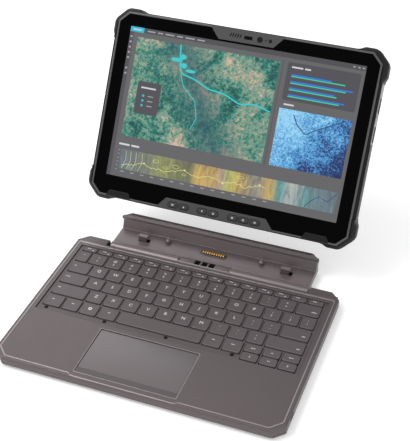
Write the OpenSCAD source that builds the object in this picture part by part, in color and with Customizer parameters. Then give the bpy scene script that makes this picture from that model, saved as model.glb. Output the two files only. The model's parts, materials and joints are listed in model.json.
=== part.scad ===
// Rugged field data collector: a ruggedised tablet lifted out of the hinged
// dock of its detachable keyboard. X runs to the right, Y to the rear, Z up,
// and Z = 0 is the surface that the keyboard rests on.

/* [Keyboard base] */
// Width of the keyboard
kb_w = 297; // [285:1:330]
// Depth of the keyboard without its hinge ears
kb_d = 195; // [185:1:240]
// Height of the deck above the table
deck_top = 12.5; // [12:0.1:16]
// Height of the rubber feet
foot_h = 1.5; // [1:0.1:2]
// Height of the joint line between base and deck
split_z = 6.0; // [5.5:0.1:6.5]
// Size of the cut-off front corners
kb_corner = 12; // [4:0.5:16]
// Wall of the keyboard covers
kb_wall = 1.8; // [1.4:0.1:2.4]
// Bevel round the deck's top edge
deck_bevel = 1.4; // [0.6:0.1:2]

/* [Keys] */
// Distance between key centres
key_pitch = 19.3; // [18:0.1:19.4]
// Distance between rows
row_pitch = 19.0; // [18:0.1:19.4]
// Gap between key caps
key_gap = 2.5; // [2:0.1:4]
// Thickness of a key cap
cap_h = 2.3; // [2:0.1:2.5]
// How far a key travels
key_travel = 1.4; // [1:0.1:1.5]
// Depth of a function key
fn_key_d = 6.8; // [6:0.1:8]
// Margin between the keys and the edge of their well
well_margin = 3.4; // [2:0.1:5]
// Distance from the deck's middle to the home row
home_y = 34; // [32:0.5:36]
// Side of the square stem under a key
stem_w = 3.6; // [3:0.1:4]

/* [Touchpad] */
// Width of the touchpad
pad_w = 104; // [90:1:116]
// Depth of the touchpad
pad_d = 55; // [48:1:58]
// Offset of the touchpad to the left of the middle
pad_off = 10; // [0:1:20]
// Depth of the strip in front of the touchpad
strip_d = 8; // [6:0.5:9]
// Gap round the touchpad
pad_gap = 0.4; // [0.3:0.05:0.6]

/* [Dock] */
// Width of the dock bar
dock_w = 228; // [222:1:231]
// Radius of the hinge barrel
barrel_r = 5.6; // [5.2:0.1:5.7]
// Radius of the hinge pins
pin_r = 2.2; // [1.8:0.1:2.8]
// Running clearance of a pin in its bore
pin_fit = 0.05; // [0.02:0.01:0.1]
// Height of the dock floor above the table
floor_z = 9.0; // [8.6:0.1:9.6]
// Height of the back wall above the dock floor
back_h = 14; // [10:0.5:15]
// Thickness of the back wall at its foot
back_t = 9; // [8:0.5:12]
// How far the top of the back wall leans away
back_lean = 3.6; // [3.4:0.1:5]
// Distance between the two guide pins
guide_span = 108; // [96:1:120]
// Radius of a guide pin
guide_r = 3.0; // [2.4:0.1:3.4]
// Distance between the two hooks
hook_span = 164; // [156:1:172]
// Travel of the latch
latch_travel = 3; // [2:0.5:4]

/* [Tablet] */
// Width of the tablet's shell
tab_w = 295; // [290:1:320]
// Height of the tablet's shell
tab_h = 202; // [198:1:224]
// Thickness of the tablet
tab_t = 24.6; // [23:0.1:25]
// Size of the cut-off corners of the tablet
tab_corner = 12; // [10:0.5:15]
// How far the rubber corners stand proud
bump = 3.0; // [2:0.1:3.4]
// Length of a rubber corner along each edge
bump_len = 31; // [24:1:36]
// Width of the screen
screen_w = 258.5; // [250:0.5:262]
// Height of the screen
screen_h = 161.6; // [150:0.2:164]
// Wall of the tablet's shell
tab_wall = 2.2; // [1.8:0.1:2.8]
// Travel of a front button
button_travel = 0.5; // [0.3:0.1:0.6]
// Width of a battery
battery_w = 104; // [90:1:110]
// Height of a battery
battery_h = 62; // [50:1:70]

/* [Carrying pose] */
// Lean of the lifted tablet
lean = 31; // [20:1:40]
// Distance from the dock's middle line to the turning axis of the lift
lift_r = 80; // [60:1:95]

/* [Hidden] */

$fn = 48;
e = 0.01;                                  // overlap that makes a cut clean
kb_front = -kb_d / 2;
kb_rear = kb_d / 2;
// keys
cap_top = deck_top + 0.1;
cap_z = cap_top - cap_h;
cap_w = key_pitch - key_gap;
plate_t = 1.2;
deck_screw_r = 2.1;
deck_screw_h = 0.9;
plate_top = cap_z - key_travel - 0.5;
stem_z = plate_top - plate_t - 0.3;
field_w = 14.15 * key_pitch;
tab_key = 1.28;                            // widths of the wide keys in key pitches
caps_key = 1.53;
shift_key = 2.03;
tilde_key = 0.78;
row_home = home_y;
row_upper = home_y + row_pitch;
row_number = home_y + 2 * row_pitch;
row_lower = home_y - row_pitch;
row_bottom = home_y - 2 * row_pitch;
cap_d = row_pitch - key_gap;
fn_y = row_number + cap_d / 2 + 1.6 + fn_key_d / 2;
arrow_drop = 6.2;                          // how far the lower arrow keys reach below the row
well_w = field_w + 2 * well_margin;
well_rear = fn_y + fn_key_d / 2 + 1.2;
well_front = row_bottom - cap_d / 2 - arrow_drop - 2.2;
well_lip = 1.5;                            // how far the hollow under the well reaches past it
// touchpad
pad_rear = well_front - 6.4;
pad_front = pad_rear - pad_d;
strip_front = pad_front - strip_d;
pad_t = 1.6;
// dock
hinge_y = kb_rear + 6.9;
hinge_z = 7.5;
ear_in = dock_w / 2 + 1.2;
ear_out = kb_w / 2;
ear_rear = hinge_y + 6.2;
pin_len = 26;
tab_back_gap = 0.5;
seat_front = hinge_y + 8.4;                // glass plane of the docked tablet
back_foot = seat_front + tab_t + tab_back_gap;
back_rear = back_foot + back_t;
seat_z = floor_z + 0.3;
chassis_z = 2.0;
floor_front = hinge_y + 1.5;
mid_y = seat_front + tab_t / 2;
contact_y = mid_y + 1.8;
contact_depth = 2.4;                       // depth of the pocket for the contact block
contact_travel = 0.9;
contact_root = contact_depth - contact_travel - 0.1;
guide_y = mid_y + 4.2;
guide_h = 5;
hook_y = mid_y - 0.4;
hook_w = 9;
hook_t = 5;
hook_h = 6.5;
hook_lip = 2.2;
center_w = 58;
center_x = -2.5;
// tablet, in its own frame: X right, Y from the glass to the back, Z up from its lower edge
pivot_y = mid_y + lift_r;
pivot_z = seat_z;
rim_w = tab_w - 6.2;
rim_z0 = 1.2;
rim_h = tab_h - 2.4;
rim_corner = 10.5;
rim_t = 2.4;
rim_top = -0.7;
glass_w = rim_w - 2 * rim_t;
glass_h = rim_h - 2 * rim_t;
glass_z = rim_z0 + rim_t;
glass_corner = rim_corner - 1;
glass_front = 0.1;
glass_t = 1.2;
screen_z = tab_h / 2 + 4.2 - screen_h / 2;
split_y = 7.0;                             // joint plane between front frame and housing
plate_front = -0.75;
plate_back = 0.1 - e;
plate_gap = 0.3;
camera_edge = [41, 30, tab_h - rim_z0, tab_h - 13.9];
button_edge = [66, 56, rim_z0, 12.9];
tab_edge = [15.3, 11.3, rim_z0, 8.5];
tab_x = 111;
button_z = 6.6;
button_x = [-47.6, -34.8, -13.9, -1.2, 20.2, 32.4, 45.2];
button_w = 10.2;
button_h = 5.4;
button_gap = 0.25;
rail_w = 2 * (hook_span / 2 + 16);
rail_h = 9.5;
rail_y0 = 3.2;
rail_y1 = tab_t - tab_wall - 0.3;
door_len = 15.5;
door_wid = 7.2;
door_t = 1.6;
door_y = 8.2;
door_z = [tab_h / 2 + 48.2, tab_h / 2 + 18.4];
door_pin_r = 0.9;
door_gap = 0.25;
jack_r = 2.4;
jack_z = tab_h / 2 - 3;
battery_t = 9;
battery_x = 58;
battery_z = 52;
battery_fit = 0.35;
bat_latch_w = 22;
bat_latch_h = 9;
bat_latch_t = 2;
bat_latch_travel = 5;
camera_x = 96;
camera_z = 178;
camera_r = 6;

shell_col = "#6f6868";
key_col = "#5d5656";
dark_col = "#2b2c2f";

// ---------- shared shapes ----------

// Rectangle with its four corners cut off, standing on the X axis
module octagon(w, h, c) {
  polygon([[-w / 2 + c, 0], [w / 2 - c, 0], [w / 2, c], [w / 2, h - c],
    [w / 2 - c, h], [-w / 2 + c, h], [-w / 2, h - c], [-w / 2, c]]);
}

// A flat drawing in X and Z, made solid from depth y0 to depth y1
module slab(y0, y1) {
  translate([0, y1, 0]) rotate([90, 0, 0]) linear_extrude(y1 - y0) children();
}

// A bar along X with the outline given in Y and Z
module bar_x(x0, x1) {
  translate([x0, 0, 0]) rotate([90, 0, 90]) linear_extrude(x1 - x0) children();
}

// Rounded rectangle drawn about its centre
module round_rect(w, h, r) {
  square([w - 2 * r, h], center = true);
  square([w, h - 2 * r], center = true);
  for (sx = [-1, 1], sy = [-1, 1])
    translate([sx * (w / 2 - r), sy * (h / 2 - r)]) circle(r);
}

// Box between two corners
module box(a, b) {
  translate(a) cube(b - a);
}

// Countersunk screw with a cross recess, head upwards at the origin
module screw(head_r, head_h, length) {
  difference() {
    union() {
      translate([0, 0, -head_h]) cylinder(r = head_r, h = head_h);
      translate([0, 0, -length]) cylinder(r = head_r * 0.5, h = length - head_h + e);
    }
    for (a = [0, 90])
      rotate(a) translate([0, 0, -head_h * 0.3]) cube([head_r * 1.2, head_r * 0.3, head_h], center = true);
  }
}

// Outline of the keyboard, seen from above
module kb_outline(inset) {
  c = kb_corner;
  w = kb_w / 2 - inset;
  f = kb_front + inset;
  r = kb_rear - inset;
  polygon([[-w + c, f], [w - c, f], [w, f + c], [w, r], [-w, r], [-w, f + c]]);
}

// Puts a piece of the tablet where the lifted tablet is
module on_tablet() {
  translate([0, pivot_y, pivot_z]) rotate([-lean, 0, 0]) translate([0, -pivot_y, -pivot_z])
    translate([0, seat_front, seat_z]) children();
}

// ---------- keyboard ----------

screw_spots = [
  [-6.95 * key_pitch, row_bottom - 11.2], [-3.2 * key_pitch, row_bottom - 11.2],
  [0.4 * key_pitch, row_bottom - 11.2], [4.1 * key_pitch, row_bottom - 11.2],
  [-3.05 * key_pitch, row_upper + 0.27 * row_pitch], [1.0 * key_pitch, row_upper + 0.27 * row_pitch]
];
base_spots = [
  for (x = [-kb_w / 2 + 20, 0, kb_w / 2 - 20], y = [strip_front - 1.6, well_rear + well_lip + 2.1]) [x, y]
];
boss_r = 3.4;
tap_r = 1.15;

module base_cover() {
  color(shell_col) difference() {
    union() {
      difference() {
        intersection() {
          translate([0, 0, foot_h]) linear_extrude(split_z - foot_h) kb_outline(0.3);
          bar_x(-kb_w / 2, kb_w / 2) polygon([[kb_front + 3.2, foot_h], [kb_rear, foot_h],
            [kb_rear, split_z], [kb_front, split_z], [kb_front, foot_h + 2.4]]);
        }
        translate([0, 0, foot_h + kb_wall]) linear_extrude(split_z) kb_outline(0.3 + kb_wall);
      }
      for (p = base_spots)
        translate([p[0], p[1], foot_h]) cylinder(r = boss_r, h = split_z - foot_h);
      for (x = [-90, -45, 0, 45, 90])
        box([x - 0.6, kb_front + 6, foot_h + e], [x + 0.6, kb_rear - 6, foot_h + kb_wall + 0.5]);
    }
    for (p = base_spots)
      translate([p[0], p[1], 0]) {
        cylinder(r = 1.6, h = split_z + 1);
        cylinder(r = 2.9, h = foot_h + 1.5);
      }
  }
}

module deck_frame() {
  color(shell_col) difference() {
    union() {
      intersection() {
        translate([0, 0, split_z]) linear_extrude(deck_top - split_z) kb_outline(0);
        bar_x(-kb_w / 2, kb_w / 2) polygon([[kb_front, split_z], [kb_rear, split_z],
          [kb_rear, deck_top], [kb_front + deck_bevel, deck_top], [kb_front, deck_top - deck_bevel]]);
        slab(kb_front - 1, kb_rear + 1) polygon([[-kb_w / 2, split_z], [kb_w / 2, split_z],
          [kb_w / 2, deck_top - deck_bevel], [kb_w / 2 - deck_bevel, deck_top],
          [-kb_w / 2 + deck_bevel, deck_top], [-kb_w / 2, deck_top - deck_bevel]]);
      }
      for (s = [-1, 1]) hinge_ear(s);
    }
    // key well
    box([-well_w / 2, well_front, plate_top], [well_w / 2, well_rear, deck_top + 1]);
    // hollow under the key well, which takes the key plate
    box([-well_w / 2 - 2, well_front - well_lip, split_z - 1],
      [well_w / 2 + 2, well_rear + well_lip, plate_top + e]);
    // touchpad opening and the strip in front of it
    box([-pad_off - pad_w / 2 - pad_gap, strip_front, split_z - 1],
      [-pad_off + pad_w / 2 + pad_gap, pad_rear + pad_gap, deck_top + 1]);
    // hollow palm rests, open below
    for (s = [-1, 1]) palm_hollow(s);
    // notch in the front edge
    translate([-pad_off, kb_front, 0]) box([-24, -1, deck_top - 1.2], [24, 1.2, deck_top + 1]);
    // bores of the hinge pins
    for (x = [-ear_out + 3, ear_in - 1])
      translate([x, hinge_y, hinge_z]) rotate([0, 90, 0])
        cylinder(r = pin_r, h = ear_out - ear_in - 2);
    // side insert recess
    box([kb_w / 2 - 1.6, kb_front + 24, split_z + 1], [kb_w / 2 + 1, kb_front + 32, split_z + 4]);
    for (p = base_spots)
      translate([p[0], p[1], split_z - 1]) cylinder(r = tap_r, h = 3);
  }
}

// Tower that holds one hinge pin behind the deck, s is -1 on the left
module hinge_ear(s) {
  x0 = s < 0 ? -ear_out : ear_in;
  x1 = s < 0 ? -ear_in : ear_out;
  c = ear_rear - kb_rear;
  intersection() {
    bar_x(x0, x1) polygon([[kb_rear, foot_h + 1], [ear_rear - 1.5, foot_h + 1], [ear_rear, foot_h + 3.5],
      [ear_rear, hinge_z + 1.5], [ear_rear - 3, deck_top - 0.4], [kb_rear - 1, deck_top - 0.4],
      [kb_rear - 1, split_z], [kb_rear, split_z]]);
    linear_extrude(deck_top + 1) polygon([[x0, kb_rear - 1], [x1, kb_rear - 1],
      [x1, ear_rear - (s > 0 ? c : 0)], [x1 - (s > 0 ? c : 0), ear_rear],
      [x0 + (s < 0 ? c : 0), ear_rear], [x0, ear_rear - (s < 0 ? c : 0)]]);
  }
}

// Space under one palm rest
module palm_hollow(s) {
  xa = s < 0 ? -kb_w / 2 + 8 : -pad_off + pad_w / 2 + 4;
  xb = s < 0 ? -pad_off - pad_w / 2 - 4 : kb_w / 2 - 8;
  box([xa, kb_front + 18, split_z - 1], [xb, pad_rear - 1, deck_top - kb_wall]);
}

// Spots of every key: x of its left edge, width, y of its front edge and depth
function row_x(k) = -field_w / 2 + k * key_pitch;
fn_count = 15;
fn_pitch = field_w / fn_count;
fn_list = [for (i = [0:fn_count - 1]) [-field_w / 2 + i * fn_pitch, fn_pitch, fn_y - fn_key_d / 2, fn_key_d]];
function letter_row(y, lead, n) = concat(
  [[row_x(0), lead * key_pitch, y - cap_d / 2, cap_d]],
  [for (i = [0:n - 1]) [row_x(lead + i), key_pitch, y - cap_d / 2, cap_d]],
  [[row_x(lead + n), field_w - (lead + n) * key_pitch, y - cap_d / 2, cap_d]]);
number_list = letter_row(row_number, tilde_key, 12);
upper_list = letter_row(row_upper, tab_key, 12);
home_list = letter_row(row_home, caps_key, 11);
lower_list = letter_row(row_lower, shift_key, 10);
space_at = 4.25;
space_len = 4.75;
right_key = 1.07;                          // width of the two keys right of the space bar
arrow_at = 11.15;
bottom_y = row_bottom - cap_d / 2;
bottom_list = concat(
  [[row_x(0), 1.1 * key_pitch, bottom_y, cap_d]],
  [for (k = [1.1, 2.1, 3.15]) [row_x(k), (k > 3 ? 1.1 : k > 2 ? 1.05 : 1.0) * key_pitch, bottom_y, cap_d]],
  [for (k = [0, right_key]) [row_x(space_at + space_len + k), right_key * key_pitch, bottom_y, cap_d]]);
space_list = [[row_x(space_at), space_len * key_pitch, bottom_y, cap_d]];
arrow_d = (cap_d + arrow_drop - 1.2) / 2;
arrow_list = concat(
  [for (k = [0, 1, 2]) [row_x(arrow_at + k), key_pitch, bottom_y - arrow_drop, arrow_d]],
  [for (k = [0, 1, 2]) [row_x(arrow_at + k), key_pitch, bottom_y - arrow_drop + arrow_d + 1.2, arrow_d]]);

// Key caps on their stems, one for each spot in the list
module key_caps(list) {
  for (k = list) {
    w = k[1] - key_gap;
    x = k[0] + key_gap / 2;
    translate([x, k[2], cap_z]) {
      cube([w, k[3], cap_h - 0.6]);
      translate([0.5, 0.5, 0]) cube([w - 1, k[3] - 1, cap_h]);
      translate([w / 2 - stem_w / 2, k[3] / 2 - stem_w / 2, stem_z - cap_z])
        cube([stem_w, stem_w, cap_z - stem_z + e]);
    }
  }
}

// Holes of the stems in the key plate
module stem_holes(list) {
  s = stem_w + 0.8;
  for (k = list)
    translate([k[0] + k[1] / 2 - s / 2, k[2] + k[3] / 2 - s / 2, plate_top - plate_t - 1])
      cube([s, s, plate_t + 2]);
}

module key_plate() {
  color("#3b3838") difference() {
    box([-well_w / 2 - 1.5, well_front - well_lip + 0.5, plate_top - plate_t],
      [well_w / 2 + 1.5, well_rear + well_lip - 0.5, plate_top - e]);
    for (list = [fn_list, number_list, upper_list, home_list,
        lower_list, bottom_list, space_list, arrow_list])
      stem_holes(list);
    // sunk screw holes, so that the heads clear the keys
    for (p = screw_spots)
      translate([p[0], p[1], 0]) {
        translate([0, 0, plate_top - plate_t - 1]) cylinder(r = 1.1, h = plate_t + 2);
        translate([0, 0, plate_top - deck_screw_h]) cylinder(r = deck_screw_r + 0.2, h = 2);
      }
  }
}

module keyboard_board() {
  z = foot_h + kb_wall + 0.6;
  color("#1f4a34") union() {
    box([-92, -8, z], [92, 84, z + 1.0]);
    box([-40, 24, z + 1.0 - e], [-12, 46, z + 1.6]);
    box([30, 10, z + 1.0 - e], [46, 26, z + 1.6]);
  }
}

module touchpad_strip() {
  color("#4a4546") difference() {
    box([-pad_off - pad_w / 2, strip_front + 0.2, split_z + 0.2],
      [-pad_off + pad_w / 2, pad_front - pad_gap, deck_top - 0.2]);
    box([-pad_off - pad_w / 2 + 2, strip_front + 2, split_z - 1],
      [-pad_off + pad_w / 2 - 2, pad_front - pad_gap - 1.6, deck_top - 2]);
  }
}

module touchpad() {
  color("#8a8486") union() {
    box([-pad_off - pad_w / 2, pad_front, deck_top - 0.6 - pad_t],
      [-pad_off + pad_w / 2, pad_rear, deck_top - 0.6]);
    box([-pad_off - 6, pad_front + 3, deck_top - 0.6 - pad_t - 1.2],
      [-pad_off + 6, pad_front + 9, deck_top - 0.6 - pad_t + e]);
  }
}

module rubber_feet() {
  color("#202020") union() {
    for (x = [-1, 1], y = [kb_front + 14, kb_rear - 30])
      translate([x * (kb_w / 2 - 42), y, 0]) linear_extrude(foot_h) round_rect(34, 7, 3.4);
    cylinder(r = 8, h = foot_h);             // pad at the middle, where the base would sag
  }
}

module deck_screws() {
  color("#17171a") for (p = screw_spots)
    translate([p[0], p[1], plate_top]) screw(deck_screw_r, deck_screw_h, 2.0);
}

module base_screws() {
  color("#2a2a2c") for (p = base_spots)
    translate([p[0], p[1], foot_h + 0.5]) rotate([180, 0, 0]) screw(2.6, 1.0, split_z - foot_h + 1.6);
}

// The two steel pins, fixed in the ears, on which the dock turns
module hinge_pins() {
  color("silver") for (s = [-1, 1])
    translate([s < 0 ? -ear_out + 3 : ear_out - 3 - pin_len, hinge_y, hinge_z])
      rotate([0, 90, 0]) cylinder(r = pin_r, h = pin_len);
}

module side_insert() {
  color("#1b1b1d") difference() {
    box([kb_w / 2 - 1.6, kb_front + 24, split_z + 1], [kb_w / 2 - 0.2, kb_front + 32, split_z + 4]);
    box([kb_w / 2 - 0.9, kb_front + 25, split_z + 1.8], [kb_w / 2, kb_front + 31, split_z + 3.2]);
  }
}

module function_keys() { color(key_col) key_caps(fn_list); }
module number_keys() { color(key_col) key_caps(number_list); }
module upper_letter_keys() { color(key_col) key_caps(upper_list); }
module home_letter_keys() { color(key_col) key_caps(home_list); }
module lower_letter_keys() { color(key_col) key_caps(lower_list); }
module bottom_keys() { color(key_col) key_caps(bottom_list); }
module space_bar() { color(key_col) key_caps(space_list); }
module arrow_keys() { color(key_col) key_caps(arrow_list); }

// ---------- dock ----------

// Space in which the latch bar slides inside the chassis
bar_z0 = chassis_z + 1.6;
bar_z1 = bar_z0 + 2.4;
bar_y0 = hook_y - 5;
bar_y1 = hook_y + 5;
bar_half = hook_span / 2 + 10;

module dock_chassis() {
  w = dock_w / 2 - 1.6;
  color(shell_col) difference() {
    bar_x(-w, w) polygon([[floor_front, chassis_z], [back_rear, chassis_z],
      [back_rear, floor_z + back_h - 4], [back_foot + back_lean, floor_z + back_h - 4],
      [back_foot, floor_z], [floor_front, floor_z]]);
    // room for the barrel
    translate([-w - 1, hinge_y, hinge_z]) rotate([0, 90, 0]) cylinder(r = barrel_r + 0.05, h = 2 * w + 2);
    // channel of the latch bar, and the slots of its hooks and release tab
    box([-bar_half - latch_travel - 1, bar_y0 - 0.3, bar_z0 - 0.2],
      [bar_half + latch_travel + 1, bar_y1 + 0.3, bar_z1 + 0.3]);
    for (s = [-1, 1])
      translate([s * hook_span / 2, hook_y, 0])
        box([-hook_w / 2 - 0.6, -hook_t / 2 - 0.4, bar_z1],
          [hook_w / 2 + latch_travel + 0.6, hook_t / 2 + 0.4, floor_z + 1]);
    box([-9 - 0.6, bar_y1, bar_z0 - 0.2], [9 + latch_travel + 0.6, back_rear + 1, bar_z1 + 0.3]);
    // guide pins and contact block
    for (s = [-1, 1])
      translate([s * guide_span / 2, guide_y, floor_z - 3]) cylinder(r = 1.8, h = 4);
    translate([0, contact_y, floor_z - contact_depth]) linear_extrude(4) round_rect(30.2, 8.2, 4.05);
    // cored back wall, open at the rear
    for (i = [-4:4])
      box([i * 24 - 10, back_foot + 4.4, floor_z + 1.5],
        [i * 24 + 10, back_rear + 1, floor_z + back_h - 6.5]);
    // room for the cover at the middle of the barrel
    box([center_x - center_w / 2, floor_front - 1, floor_z - 2.2],
      [center_x + center_w / 2, hinge_y + 8, floor_z + 1]);
    // screw holes for the back cap
    for (x = [-90, 0, 90])
      translate([x, back_foot + back_lean + 2.4, floor_z + back_h - 7]) cylinder(r = 0.9, h = 4);
  }
}

// Cap along the top of the back wall, with fine grooves and cut-off ends
module dock_back_cap() {
  w = dock_w / 2;
  z0 = floor_z + back_h - 4;
  z1 = floor_z + back_h;
  y0 = back_foot + back_lean;
  c = 8;
  color("#77706f") difference() {
    intersection() {
      bar_x(-w, w) polygon([[y0 + e, z0 + e], [back_rear + 0.8, z0 + e], [back_rear + 0.8, z1 - 2.2],
        [back_rear - 1.4, z1], [y0 + 1.2, z1], [y0 + e, z1 - 0.8]]);
      linear_extrude(z1 + 1) polygon([[-w, y0 - 1], [w, y0 - 1], [w, back_rear + 0.8 - c * 0.6],
        [w - c, back_rear + 0.8], [-w + c, back_rear + 0.8], [-w, back_rear + 0.8 - c * 0.6]]);
    }
    for (i = [0:2])
      box([-w + 12, y0 + 1.6 + i * 1.3, z1 - 0.5], [w - 12, y0 + 2.1 + i * 1.3, z1 + 1]);
    for (x = [-90, 0, 90])
      translate([x, back_foot + back_lean + 2.4, z0 - 1]) {
        cylinder(r = 1.15, h = 8);
        translate([0, 0, 1 + 4 - 1.4]) cylinder(r = 2.1, h = 3);
      }
  }
}

module dock_barrel() {
  w = dock_w / 2;
  color("#8d8685") difference() {
    translate([-w, hinge_y, hinge_z]) rotate([0, 90, 0]) cylinder(r = barrel_r, h = 2 * w);
    for (s = [-1, 1])
      translate([s < 0 ? -w - 1 : w - 16, hinge_y, hinge_z]) rotate([0, 90, 0])
        cylinder(r = pin_r + pin_fit, h = 17);
    // seat of the ribbed cover
    box([center_x - center_w / 2, hinge_y - 3.2, floor_z - 0.6],
      [center_x + center_w / 2, hinge_y + 8, floor_z + 10]);
  }
}

// Ribbed cover at the middle of the barrel
module dock_center_cover() {
  x0 = center_x - center_w / 2 + 0.3;
  x1 = center_x + center_w / 2 - 0.3;
  z0 = floor_z - 0.6 + e;
  color("#5c5554") difference() {
    bar_x(x0, x1) polygon([[hinge_y - 2.9, z0], [hinge_y + 7.7, z0],
      [hinge_y + 7.7, floor_z], [hinge_y + 3.8, floor_z + 1.6],
      [hinge_y - 0.2, floor_z + 1.9], [hinge_y - 2.9, floor_z + 0.8]]);
    for (i = [0:2])
      translate([-13.5 + i * 8.2, hinge_y + 0.4, z0 + 0.5]) cube([5.6, 5.4, 8]);
  }
}

module contact_block() {
  color("#3a3534") difference() {
    translate([0, contact_y, floor_z - contact_depth + 0.1])
      linear_extrude(contact_depth + 0.9) round_rect(30, 8, 4);
    for (i = [0:9]) for (j = [-1, 1])
      translate([-11.7 + i * 2.6, contact_y + j * 1.2, floor_z - 3]) cylinder(r = 0.62, h = 6);
  }
}

module contact_pins() {
  color("gold") for (i = [0:9]) for (j = [-1, 1])
    translate([-11.7 + i * 2.6, contact_y + j * 1.2, floor_z - contact_root]) {
      cylinder(r = 0.55, h = contact_root + 1.4);
      translate([0, 0, contact_root + 1.4]) sphere(0.55);
    }
}

// Two domed pins that lead the tablet into the dock
module guide_pins() {
  color("#9a9490") for (s = [-1, 1])
    translate([s * guide_span / 2, guide_y, 0]) {
      translate([0, 0, floor_z - 2.9]) cylinder(r = 1.8, h = 3);
      translate([0, 0, floor_z]) rotate_extrude() polygon([[0, 0], [guide_r, 0], [guide_r, guide_h - 2.2],
        [guide_r - 0.5, guide_h - 0.9], [guide_r - 1.4, guide_h - 0.2], [0, guide_h]]);
    }
}

module latch_bar() {
  color("#6c6c70") union() {
    box([-bar_half, bar_y0, bar_z0], [bar_half, bar_y1, bar_z1]);
    box([-9, bar_y1 - 1, bar_z0], [9, back_rear - 1.2, bar_z1]);
    box([-7.5, back_rear - 1.2 - e, bar_z0], [7.5, back_rear + 0.6, bar_z1]);
    for (s = [-1, 1])
      translate([s * hook_span / 2, hook_y, 0])
        box([-hook_w / 2, -hook_t / 2, bar_z1 - e], [hook_w / 2, hook_t / 2, floor_z - 1]);
  }
}

module latch_hooks() {
  color("#8b8583") for (s = [-1, 1])
    translate([s * hook_span / 2, hook_y, 0])
      slab(-hook_t / 2, hook_t / 2) polygon([[-hook_w / 2, floor_z - 1], [hook_w / 2, floor_z - 1],
        [hook_w / 2, floor_z + hook_h - 2.6], [hook_w / 2 + hook_lip, floor_z + hook_h - 2],
        [hook_w / 2 + hook_lip - 0.9, floor_z + hook_h], [-hook_w / 2, floor_z + hook_h]]);
}

module dock_foot() {
  color("#202020") box([-dock_w / 2 + 16, hinge_y + 16, 0], [dock_w / 2 - 16, back_rear - 4, chassis_z]);
}

module dock_screws() {
  color("#2a2a2c") for (x = [-90, 0, 90])
    translate([x, back_foot + back_lean + 2.4, floor_z + back_h - 0.4]) screw(1.9, 0.9, 5.2);
}

// ---------- tablet ----------

module rear_housing() {
  w = tab_w;
  color(dark_col) on_tablet() difference() {
    union() {
      difference() {
        intersection() {
          slab(split_y, tab_t) octagon(w, tab_h, tab_corner);
          bar_x(-w / 2, w / 2) polygon([[split_y, 0], [tab_t - 3, 0], [tab_t, 4], [tab_t, tab_h - 5],
            [tab_t - 4, tab_h], [split_y, tab_h]]);
          linear_extrude(tab_h) polygon([[-w / 2, split_y], [w / 2, split_y], [w / 2, tab_t - 6],
            [w / 2 - 5, tab_t], [-w / 2 + 5, tab_t], [-w / 2, tab_t - 6]]);
        }
        translate([0, 0, 6.5]) slab(split_y - 1, tab_t - tab_wall)
          octagon(w - 13, tab_h - 13, tab_corner - 4);
      }
      // walls of the battery bays
      for (s = [-1, 1])
        translate([s * battery_x, 0, battery_z])
          box([-battery_w / 2 - 2, tab_t - battery_t - 2, -2],
            [battery_w / 2 + 2, tab_t - tab_wall + e, battery_h + 2]);
    }
    // battery bays and the seats of their latches
    for (s = [-1, 1])
      translate([s * battery_x, 0, battery_z]) {
        box([-battery_w / 2 - battery_fit, tab_t - battery_t - 0.4, -battery_fit],
          [battery_w / 2 + battery_fit, tab_t + 1, battery_h + battery_fit]);
        box([-bat_latch_w / 2 - 1, tab_t - bat_latch_t, battery_h + 4],
          [bat_latch_w / 2 + bat_latch_travel + 1, tab_t + 1, battery_h + 4 + bat_latch_h + 0.6]);
      }
    // room for the dock rail
    box([-rail_w / 2 - 0.2, rail_y0, -1], [rail_w / 2 + 0.2, rail_y1 + 0.2, rail_h + 0.2]);
    // windows of the port doors and of the jack
    for (z = door_z)
      box([w / 2 - 8, door_y - door_gap, z - door_len / 2 - door_gap],
        [w / 2 + 1, door_y + door_wid + door_gap, z + door_len / 2 + door_gap]);
    translate([w / 2 - 8, door_y + door_wid / 2, jack_z]) rotate([0, 90, 0]) cylinder(r = jack_r, h = 9);
    // rear camera
    translate([camera_x, tab_t - 6, camera_z]) rotate([-90, 0, 0]) cylinder(r = camera_r + 0.1, h = 8);
    // fine vents
    for (i = [0:11])
      translate([-110 + i * 5, tab_t - tab_wall - 1, 158]) cube([2, tab_wall + 2, 22]);
    for (p = housing_spots)
      translate([p[0], tab_t - 3.2, p[1]]) rotate([-90, 0, 0]) {
        cylinder(r = 1.3, h = 5);
        translate([0, 0, 1.6]) cylinder(r = 2.8, h = 5);
      }
  }
}

housing_spots = [
  for (x = [-1, 1], z = [22, tab_h - 22]) [x * (tab_w / 2 - 16), z]
];

// Frame round the glass: a thin raised rim on a wider ledge
module front_frame() {
  color("#4b4d50") on_tablet() difference() {
    union() {
      slab(3.2, split_y - e) octagon(tab_w, tab_h, tab_corner);
      translate([0, 0, 0.6]) slab(1.6, 3.2 + e) octagon(tab_w - 3, tab_h - 1.2, tab_corner - 0.5);
      translate([0, 0, rim_z0]) slab(rim_top, 1.6 + e) octagon(rim_w, rim_h, rim_corner);
    }
    translate([0, 0, glass_z - 0.15]) slab(rim_top - 1, glass_front + glass_t + 0.1)
      octagon(glass_w + 0.3, glass_h + 0.3, glass_corner);
    translate([0, 0, screen_z - 4]) slab(0, split_y + 1) octagon(screen_w + 8, screen_h + 8, 4);
    // room for the dock rail and for the plates on the glass
    box([-rail_w / 2 - 0.2, rail_y0, -1], [rail_w / 2 + 0.2, split_y + 1, rail_h + 0.2]);
    slab(rim_top - 1, 0.1) plate_outline(camera_edge, plate_gap);
    slab(rim_top - 1, 0.1) plate_outline(button_edge, plate_gap);
    for (s = [-1, 1])
      translate([s * tab_x, 0, 0]) slab(rim_top - 1, 0.1) plate_outline(tab_edge, plate_gap);
    // pockets behind the front buttons
    for (x = button_x)
      translate([x, 0, button_z]) slab(-1, 2.6) round_rect(button_w - 2, button_h - 1.4, 1.6);
  }
}

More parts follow.
